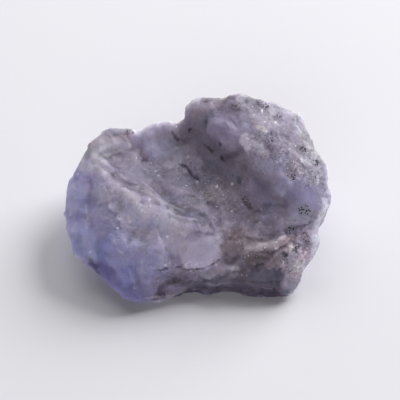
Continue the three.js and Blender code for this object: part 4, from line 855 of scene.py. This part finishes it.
@dataclass(frozen=True)
class TanzaniteFinish:
    """Rough tanzanite as it broke: a cloudy crystal, waxy to glassy, that light goes a little way into."""

    ground: str = "a59cb3"  # greyish lavender, the body of the crystal
    milk: str = "d6d1de"  # pale fine cracks, and painted light on small crests, ribs and edges, where the crystal is white with light
    shade: str = "38333f"  # painted shade at the bottom of a crack, a seam or a cut
    graphite: str = "35323c"
    # painted glints: the near-white laid into the colour as highlights
    glint: str = "f6f4fa"
    mark_strength: float = 0.8  # how far the palest and the darkest marks go to milk and to shade
    pink: Point = (1.035, 0.985, 0.975)  # the crystal looks pinker along one axis and bluer along another
    blue: Point = (0.965, 0.995, 1.035)
    hue_field: Field = Field(1.9, 3.0)
    hue_range: tuple[float, float] = (0.35, 0.65)  # the part of the field that goes from all pink to all blue
    clouds: tuple[Cloud, ...] = (
        Cloud(Field(2.6, 3.0), 0.05), Cloud(Field(0.75, 3.0), 0.06), Cloud(Field(0.3, 2.0), 0.05)
    )
    cloud_range: tuple[float, float] = (0.25, 0.75)  # the part of a haze that goes from darkest to lightest
    cloud_swirl: float = 0.6
    cloud_shift: float = 31.7  # between the sizes, so that they don't follow each other
    mosaics: tuple[Mosaic, ...] = (Mosaic(1.1, 0.04), Mosaic(0.5, 0.06))
    # the same, only where the break is sugary
    crumbs: tuple[Mosaic, ...] = (Mosaic(0.45, 0.2), Mosaic(0.3, 0.5, 3.0), Mosaic(0.17, 0.7, 3.0))
    outline_detail: float = 2.0  # of the field that bends the outlines of the small facets
    grits: tuple[Grit, ...] = (
        Grit("pale chips", "d9d5e2", 0.45, 0.1, 0.6, 0.5),
        # painted highlights: white dots laid into the colour
        Grit("glints", "ffffff", 0.5, 0.08, 0.5, 0.9),
        # painted shade: dark dots where tiny pits would be in shade
        Grit("dark pits", "3a3543", 0.45, 0.09, 0.6, 0.6),
        Grit("short pale cracks", "e9e7f3", 0.6, 0.07, 0.1, 0.6, (1.0, 2.5, 2.5), 0.5),
        Grit("short dark cracks", "3f3a4c", 0.6, 0.06, 0.1, 0.5, (2.5, 2.5, 1.0), 0.4),
    )
    grit_core: float = 0.5  # share of a dot's radius inside which it has its full strength
    grit_shift: float = 17.3  # between the kinds, so that they don't lie on each other
    fleck_spacing: float = 0.21  # of the graphite
    fleck_edge: tuple[float, float] = (0.55, 0.3)  # where a fleck starts and where it is solid, in spacings
    fleck_strength: float = 1.3
    crest_painted_light: float = 0.8  # painted light and shade: share lighter for each millimetre that a fine crest stands out, and darker for each that a hollow sinks in
    # the same painted light and shade for broad swells and hollows
    swell_painted_light: float = 0.1
    refraction: float = 1.69
    gloss: float = 0.22  # a broken face scatters much of what a polished one would reflect
    roughness: float = 0.46
    glassy_polish: float = 0.12  # how much less rough a glassy face is
    glint_polish: float = 0.25
    soak_depth: float = 3.5  # how far light spreads inside
    soak_colour: Point = (1.0, 0.97, 0.95)
    soak_share: float = 1.0
    facet: float = 0.2  # size of the finest facets
    facet_strength: float = 0.05
    sugary_facets: float = 0.7  # how much stronger they are where the break is sugary

    def material(self) -> bpy.types.Material:
        """Builds the material.

        Returns:
            The material.
        """
        material = bpy.data.materials.new("rough tanzanite")
        material.use_nodes = True
        tree = material.node_tree
        tree.nodes.clear()
        coords = add_node(tree, "TexCoord").node.outputs["Object"]
        in_mm = add_node(tree, "VectorMath", coords, PER_MM, operation="SCALE")
        masks = {
            mask: add_node(tree, "Attribute", attribute_name=mask.value).node.outputs["Fac"]
            for mask in (Mask.TONE, Mask.SUGAR, Mask.GLASSY, Mask.GRAPHITE, Mask.GLINT, *CRESTS)
        }
        colour = add_node(tree, "Attribute", attribute_name=Mask.BODY_COLOUR.value)
        colour = add_node(tree, "VectorMath", colour, self.lightness(tree, in_mm, masks), operation="SCALE")
        colour = add_node(tree, "VectorMath", colour, self.tint(tree, in_mm), operation="MULTIPLY")
        looks = {
            "Base Color": self.marked(tree, in_mm, masks, colour),
            "Roughness": self.rough(tree, masks),
            "Normal": self.facets(tree, in_mm, masks),
            "IOR": self.refraction,
            "Specular IOR Level": self.gloss,
            "Subsurface Weight": self.soak_share,
            "Subsurface Radius": self.soak_colour,
            "Subsurface Scale": self.soak_depth * MM,
        }
        add_node(tree, "OutputMaterial", add_node(tree, "BsdfPrincipled", inputs=looks))
        return material

    def lightness(self, tree: Tree, in_mm: Socket, masks: dict[Mask, Socket]) -> Socket:
        """Adds how much lighter or darker than its colour the crystal is: painted light on crests and painted
        shade in hollows, then clouds, facets and crumbs.

        Args:
            tree: The tree that the nodes go into.
            in_mm: The place of a point, in millimetres.
            masks: The values that the mesh carries.

        Returns:
            The socket with the lightness, which is 1 where the colour is left as it is.
        """
        light = 1.0
        # painted light on crests and painted shade in hollows
        for mask, gain in zip(CRESTS, (self.crest_painted_light, self.swell_painted_light)):
            light = add_node(tree, "Math", masks[mask], gain, light, operation="MULTIPLY_ADD")
        for number, cloud in enumerate(self.clouds):
            apart = add_node(tree, "VectorMath", in_mm, (self.cloud_shift * number,) * 3, operation="ADD")
            swirl = {"Distortion": self.cloud_swirl}
            haze = add_node(tree, "TexNoise", *cloud.haze.over(apart), inputs=swirl)
            swing = add_node(tree, "MapRange", haze, *self.cloud_range, -cloud.strength, cloud.strength)
            light = add_node(tree, "Math", light, swing, operation="ADD")
        for mosaic in self.mosaics + self.crumbs:
            outline = Field(mosaic.size, self.outline_detail)
            bend = add_node(tree, "TexNoise", *outline.over(in_mm)).node.outputs["Color"]
            bent = add_node(tree, "VectorMath", bend, (mosaic.size,) * 3, in_mm, operation="MULTIPLY_ADD")
            tile = add_node(tree, "TexVoronoi", bent, 1 / mosaic.size).node.outputs["Color"]
            swing = add_node(tree, "MapRange", tile, 0.0, 1.0, -1.0, 1.0)
            swing = add_node(tree, "Math", swing, mosaic.contrast, operation="POWER")
            swing = add_node(tree, "Math", swing, mosaic.strength, operation="MULTIPLY")
            here = masks[Mask.SUGAR] if mosaic in self.crumbs else 1.0
            light = add_node(tree, "Math", swing, here, light, operation="MULTIPLY_ADD")
        return light

    def tint(self, tree: Tree, in_mm: Socket) -> Socket:
        """Adds the slow change from a pinkish to a bluish crystal.

        Args:
            tree: The tree that the nodes go into.
            in_mm: The place of a point, in millimetres.

        Returns:
            The socket with what the colour is multiplied by.
        """
        lean = add_node(tree, "TexNoise", *self.hue_field.over(in_mm))
        lean = add_node(tree, "MapRange", lean, *self.hue_range)
        return add_node(tree, "Mix", lean, self.pink, self.blue, data_type="VECTOR")

    def marked(self, tree: Tree, in_mm: Socket, masks: dict[Mask, Socket], colour: Socket) -> Socket:
        """Lays the marks, the grit, the graphite and the painted glints over the colour; the marks and the grit
        hold painted light and shade as well.

        Args:
            tree: The tree that the nodes go into.
            in_mm: The place of a point, in millimetres.
            masks: The values that the mesh carries.
            colour: The colour that they go over.

        Returns:
            The socket with the new colour.
        """
        layers = []
        for strongest, over in ((1.0, self.milk), (-1.0, self.shade)):
            share = add_node(tree, "MapRange", masks[Mask.TONE], 0.0, strongest, 0.0, self.mark_strength)
            layers.append((share, over))
        for number, grit in enumerate(self.grits, start=1):
            share = self.dots(tree, in_mm, masks[Mask.SUGAR], grit, self.grit_shift * number)
            layers.append((share, grit.colour))
        away = add_node(tree, "TexVoronoi", in_mm, 1 / self.fleck_spacing)
        fleck = add_node(tree, "MapRange", away, *self.fleck_edge, 0.0, self.fleck_strength)
        fleck = add_node(tree, "Math", fleck, masks[Mask.GRAPHITE], operation="MULTIPLY")
        for share, over in (*layers, (fleck, self.graphite), (masks[Mask.GLINT], self.glint)):
            colour = add_node(tree, "Mix", share, colour, linear(over), data_type="RGBA")
        return colour

    def dots(self, tree: Tree, in_mm: Socket, sugary: Socket, grit: Grit, shift: float) -> Socket:
        """Scatters the dots of one kind of grit.

        Args:
            tree: The tree that the nodes go into.
            in_mm: The place of a point, in millimetres.
            sugary: How sugary the break is there.
            grit: The kind of grit.
            shift: How far its cells are moved away from those of other kinds.

        Returns:
            The socket with how much of the grit's colour is there.
        """
        shrunk = tuple(1 / stretch for stretch in grit.stretch)
        moved = add_node(tree, "VectorMath", in_mm, shrunk, (shift,) * 3, operation="MULTIPLY_ADD")
        away = add_node(tree, "TexVoronoi", moved, 1 / grit.spacing)
        reach = grit.radius / grit.spacing
        dot = add_node(tree, "MapRange", away, reach, self.grit_core * reach, 0.0, grit.strength)
        least = grit.least * grit.chance
        chance = add_node(tree, "Math", sugary, grit.chance - least, least, operation="MULTIPLY_ADD")
        held = add_node(tree, "Math", away.node.outputs["Color"], chance, operation="LESS_THAN")
        return add_node(tree, "Math", dot, held, operation="MULTIPLY")

    def rough(self, tree: Tree, masks: dict[Mask, Socket]) -> Socket:
        """Adds the roughness, which is less where a face is glassy or glints.

        Args:
            tree: The tree that the nodes go into.
            masks: The values that the mesh carries.

        Returns:
            The socket with the roughness.
        """
        rough = self.roughness
        for mask, polish in ((Mask.GLASSY, self.glassy_polish), (Mask.GLINT, self.glint_polish)):
            rough = add_node(tree, "Math", masks[mask], -polish, rough, operation="MULTIPLY_ADD")
        return rough

    def facets(self, tree: Tree, in_mm: Socket, masks: dict[Mask, Socket]) -> Socket:
        """Adds the finest facets, each tilted its own way.

        Args:
            tree: The tree that the nodes go into.
            in_mm: The place of a point, in millimetres.
            masks: The values that the mesh carries.

        Returns:
            The socket with the normal.
        """
        rise = add_slope(tree, in_mm, add_node(tree, "TexVoronoi", in_mm, 1 / self.facet).node)
        strength = add_node(
            tree, "Math", masks[Mask.SUGAR], self.sugary_facets, self.facet_strength, operation="MULTIPLY_ADD"
        )
        return add_node(tree, "Bump", strength, MM, inputs={"Height": rise})


@dataclass(frozen=True)
class MattePaperFinish:
    """Plain matte backdrop paper."""

    colour: str = "e7e6eb"
    roughness: float = 0.9

    def material(self) -> bpy.types.Material:
        """Builds the material."""
        material = bpy.data.materials.new("matte backdrop paper")
        material.use_nodes = True
        shader = material.node_tree.nodes["Principled BSDF"]
        shader.inputs["Base Color"].default_value = linear(self.colour)
        shader.inputs["Roughness"].default_value = self.roughness
        return material


# ---------------------------------------------------------------- the stone


@dataclass(frozen=True)
class Stray:
    """A smooth random field that leads the edges of stains, patches and marks astray."""

    length: float  # that it changes over
    reach: float  # how far it leads them at most

    def moves(self, places: np.ndarray) -> np.ndarray:
        """Works out the move of each place."""
        return self.reach * np.array([noise.noise_vector(Vector(place / self.length)) for place in places])


@dataclass(frozen=True)
class Facets:
    """Small facets, whose outlines the edges of stains, patches and marks follow."""

    size: float
    pull: float  # how much of the way to the middle of its facet a place goes

    def moves(self, places: np.ndarray) -> np.ndarray:
        """Works out the move of each place."""
        middles = self.size * np.array([noise.voronoi(Vector(place / self.size))[1][0] for place in places])
        return self.pull * (middles - places)


@dataclass
class Stone:
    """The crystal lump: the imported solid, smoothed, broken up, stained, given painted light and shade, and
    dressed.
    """

    frame: dict
    name: str = "tanzanite_crystal"
    merge_distance: float = 0.001
    base_faces: int = 8200  # faces before the two subdivisions, which make 24 triangles of each
    subdivisions: int = 2
    seed: int = 4  # of the fields that lead edges astray
    facets: tuple[Facets, ...] = (Facets(0.9, 0.45), Facets(0.4, 0.4))  # for stains and patches
    strays: tuple[Stray, ...] = (Stray(2.4, 0.3), Stray(0.7, 0.25))
    glassy_calm: float = 0.8  # how much less they follow the facets where the break is glassy
    fine_facets: Facets = Facets(0.28, 0.4)  # for marks, graphite and the finest stains
    fine_stray: Stray = Stray(0.8, 0.14)
    mark_level: float = 0.8  # share of its tone that a mark mostly has
    mark_breaks: Stray = Stray(0.35, 0.9)  # and how that comes and goes
    least_sugar: float = 0.25  # share of the sugary grain that every break has
    glassy_loss: float = 0.8  # share of it that a glassy one lacks
    relief: BrokenCrystal = field(default_factory=BrokenCrystal)
    finish: TanzaniteFinish = field(default_factory=TanzaniteFinish)

    def build(self) -> bpy.types.Object:
        """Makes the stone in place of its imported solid.

        Returns:
            The finished piece.
        """
        piece = self.copy_of_solid()
        self.mark(piece.data)
        apply_modifier(piece, "NODES", node_group=self.relief.nodes())
        piece.data.materials.clear()
        piece.data.materials.append(self.finish.material())
        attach(piece, BODY)
        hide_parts(NODE)
        log.info("%s: %d faces", piece.name, len(piece.data.polygons))
        return piece

    def copy_of_solid(self) -> bpy.types.Object:
        """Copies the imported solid, closes it up and subdivides it.

        Returns:
            The copy, the active object.
        """
        piece = bpy.data.objects.new(self.name, self.frame["nodes"][NODE].data.copy())
        bpy.context.scene.collection.objects.link(piece)
        bpy.ops.object.select_all(action="DESELECT")
        piece.select_set(True)
        bpy.context.view_layer.objects.active = piece
        bpy.ops.object.mode_set(mode="EDIT")
        bpy.ops.mesh.select_all(action="SELECT")
        bpy.ops.mesh.remove_doubles(threshold=self.merge_distance * MM)
        bpy.ops.object.mode_set(mode="OBJECT")
        bpy.ops.mesh.customdata_custom_splitnormals_clear()
        apply_modifier(piece, "DECIMATE", ratio=self.base_faces / len(piece.data.polygons))
        apply_modifier(piece, "SUBSURF", levels=self.subdivisions, render_levels=self.subdivisions)
        bpy.ops.object.shade_smooth()
        return piece

    def mark(self, mesh: bpy.types.Mesh) -> None:
        """Gives each point of the mesh its colour and its shares of the marks and patches."""
        noise.seed_set(self.seed)
        places = np.empty(len(mesh.vertices) * 3)
        mesh.vertices.foreach_get("co", places)
        places = places.reshape(-1, 3) * PER_MM
        follow = 1 - self.glassy_calm * cover(GLASSY, places)[:, None]
        faceted = places + follow * sum(facets.moves(places) for facets in self.facets)
        wandered = sum((stray.moves(faceted) for stray in self.strays), start=faceted)
        ragged = places + self.fine_facets.moves(places) + self.fine_stray.moves(places)

        self.stain(mesh, wandered, ragged)
        self.carve(mesh, places, ragged)
        sugary, glassy = cover(SUGARY, wandered), cover(GLASSY, wandered)
        sugary = self.least_sugar + (1 - self.least_sugar) * sugary
        self.store(mesh, Mask.SUGAR, sugary * (1 - self.glassy_loss * glassy))
        self.store(mesh, Mask.GLASSY, glassy)
        self.store(mesh, Mask.LAYERED, cover(LAYERED, wandered))
        self.store(mesh, Mask.RUGGED, cover(RUGGED, places, RUGGED_SOFTNESS))
        self.store(mesh, Mask.GRAPHITE, cover(GRAPHITE, ragged, GRAPHITE_SOFTNESS))
        # the painted glints, which also lower the roughness there
        glints = [Patch("glint", GLINT_RADIUS, (place,)) for place in PAINTED_GLINTS]
        self.store(mesh, Mask.GLINT, cover(glints, places, GLINT_SOFTNESS))

    def stain(self, mesh: bpy.types.Mesh, wandered: np.ndarray, ragged: np.ndarray) -> None:
        """Stores the colour of each point of the mesh, with the painted light and shade of the stains.

        Args:
            mesh: The mesh.
            wandered: The points' places, led astray for the wide stains.
            ragged: The same for the fine ones.
        """
        colours = np.tile(np.array(linear(self.finish.ground)), (len(wandered), 1))
        for stain in STAINS:
            share = stain.share(ragged if stain.radius <= FINE_STAIN else wandered)
            colours += share[:, None] * (np.array(linear(stain.colour)) - colours)
        attribute = mesh.attributes.new(Mask.BODY_COLOUR.value, "FLOAT_COLOR", "POINT")
        attribute.data.foreach_set("color", colours.astype(np.float32).ravel())

    def carve(self, mesh: bpy.types.Mesh, places: np.ndarray, ragged: np.ndarray) -> None:
        """Stores how deep the marks are cut in at each point of the mesh, and how dark or light they are.

        Args:
            mesh: The mesh.
            places: The points' places.
            ragged: The same, led astray for the marks.
        """
        broken = np.clip(self.mark_level + self.mark_breaks.moves(places)[:, 0], 0, 1)
        cut, tone = np.zeros(len(places)), np.zeros(len(places))
        for mark in MARKS:
            share = mark.share(ragged)
            cut += mark.depth * share
            tone += mark.tone * share * broken
        self.store(mesh, Mask.CUT, cut)
        self.store(mesh, Mask.TONE, np.clip(tone, -1, 1))

    @staticmethod
    def store(mesh: bpy.types.Mesh, mask: Mask, values: np.ndarray) -> None:
        """Stores one value for each point of the mesh."""
        mesh.attributes.new(mask.value, "FLOAT", "POINT").data.foreach_set("value", values.astype(np.float32))


# ---------------------------------------------------------------- the studio


@dataclass(frozen=True)
class SoftLight:
    """A round soft light that faces the stone."""

    name: str
    azimuth: float  # in degrees, from +X towards +Y
    height: float  # in degrees, above the floor
    size: float
    watts: float
    distance: float = 600.0

    def build(self) -> None:
        """Hangs the light."""
        turn, rise = math.radians(self.azimuth), math.radians(self.height)
        aim = Vector((math.cos(turn) * math.cos(rise), math.sin(turn) * math.cos(rise), math.sin(rise)))
        facing = aim.to_track_quat("Z", "Y").to_euler()
        bpy.ops.object.light_add(type="AREA", location=aim * self.distance * MM, rotation=facing)
        light = bpy.context.object
        light.name = self.name
        light.data.shape = "DISK"
        light.data.size = self.size * MM
        light.data.energy = self.watts


@dataclass
class Studio:
    """A pale floor, soft light mostly from the right and the back, and a camera that looks down."""

    floor_size: float = 3000.0
    floor_finish: MattePaperFinish = MattePaperFinish()
    lights: tuple[SoftLight, ...] = (
        SoftLight("key_light", 45.0, 31.0, 420.0, 4.6),
        SoftLight("back_light", 110.0, 50.0, 600.0, 1.6),
        SoftLight("front_light", 258.0, 25.0, 600.0, 1.25),
    )
    sky: str = "f3f2f8"
    sky_strength: float = 0.04
    target: Point = (0.365, 0.791, 4.5)  # what the camera looks at
    elevation: float = math.radians(50)
    distance: float = 108.613
    lens: float = 100.0  # the camera's own millimetres
    nearest: float = 10.0  # what the camera sees starts this far from it

    def build(self) -> None:
        """Makes the floor, the lights and the camera."""
        self.floor()
        for light in self.lights:
            light.build()
        self.even_sky()
        self.camera()

    def floor(self) -> None:
        """Lays the floor, which isn't part of the stone."""
        bpy.ops.mesh.primitive_plane_add(size=self.floor_size * MM)
        floor = bpy.context.object
        floor.name = "floor"
        floor.data.materials.append(self.floor_finish.material())

    def even_sky(self) -> None:
        """Fills the rest with a faint even light."""
        world = bpy.data.worlds.new("studio")
        world.use_nodes = True
        background = world.node_tree.nodes["Background"]
        background.inputs["Color"].default_value = linear(self.sky)
        background.inputs["Strength"].default_value = self.sky_strength
        bpy.context.scene.world = world

    def camera(self) -> None:
        """Sets up the camera."""
        back = Vector((0.0, -math.cos(self.elevation), math.sin(self.elevation)))
        spot = (Vector(self.target) + back * self.distance) * MM
        bpy.ops.object.camera_add(location=spot, rotation=(math.pi / 2 - self.elevation, 0.0, 0.0))
        camera = bpy.context.object
        camera.name = "camera"
        camera.data.lens = self.lens
        camera.data.clip_start = self.nearest * MM
        bpy.context.scene.camera = camera
        bpy.context.scene.view_settings.view_transform = "Standard"


def corners(box: tuple[Vector, Vector]) -> list[list[float]]:
    """Turns a box's two corners into plain lists."""
    return [list(corner) for corner in box]


def main() -> None:
    """Builds the stone and the studio."""
    logging.basicConfig(level=logging.INFO, format="%(name)s %(message)s")
    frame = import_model()
    Stone(frame).build()
    Studio().build()


if __name__ == "__main__":
    main()
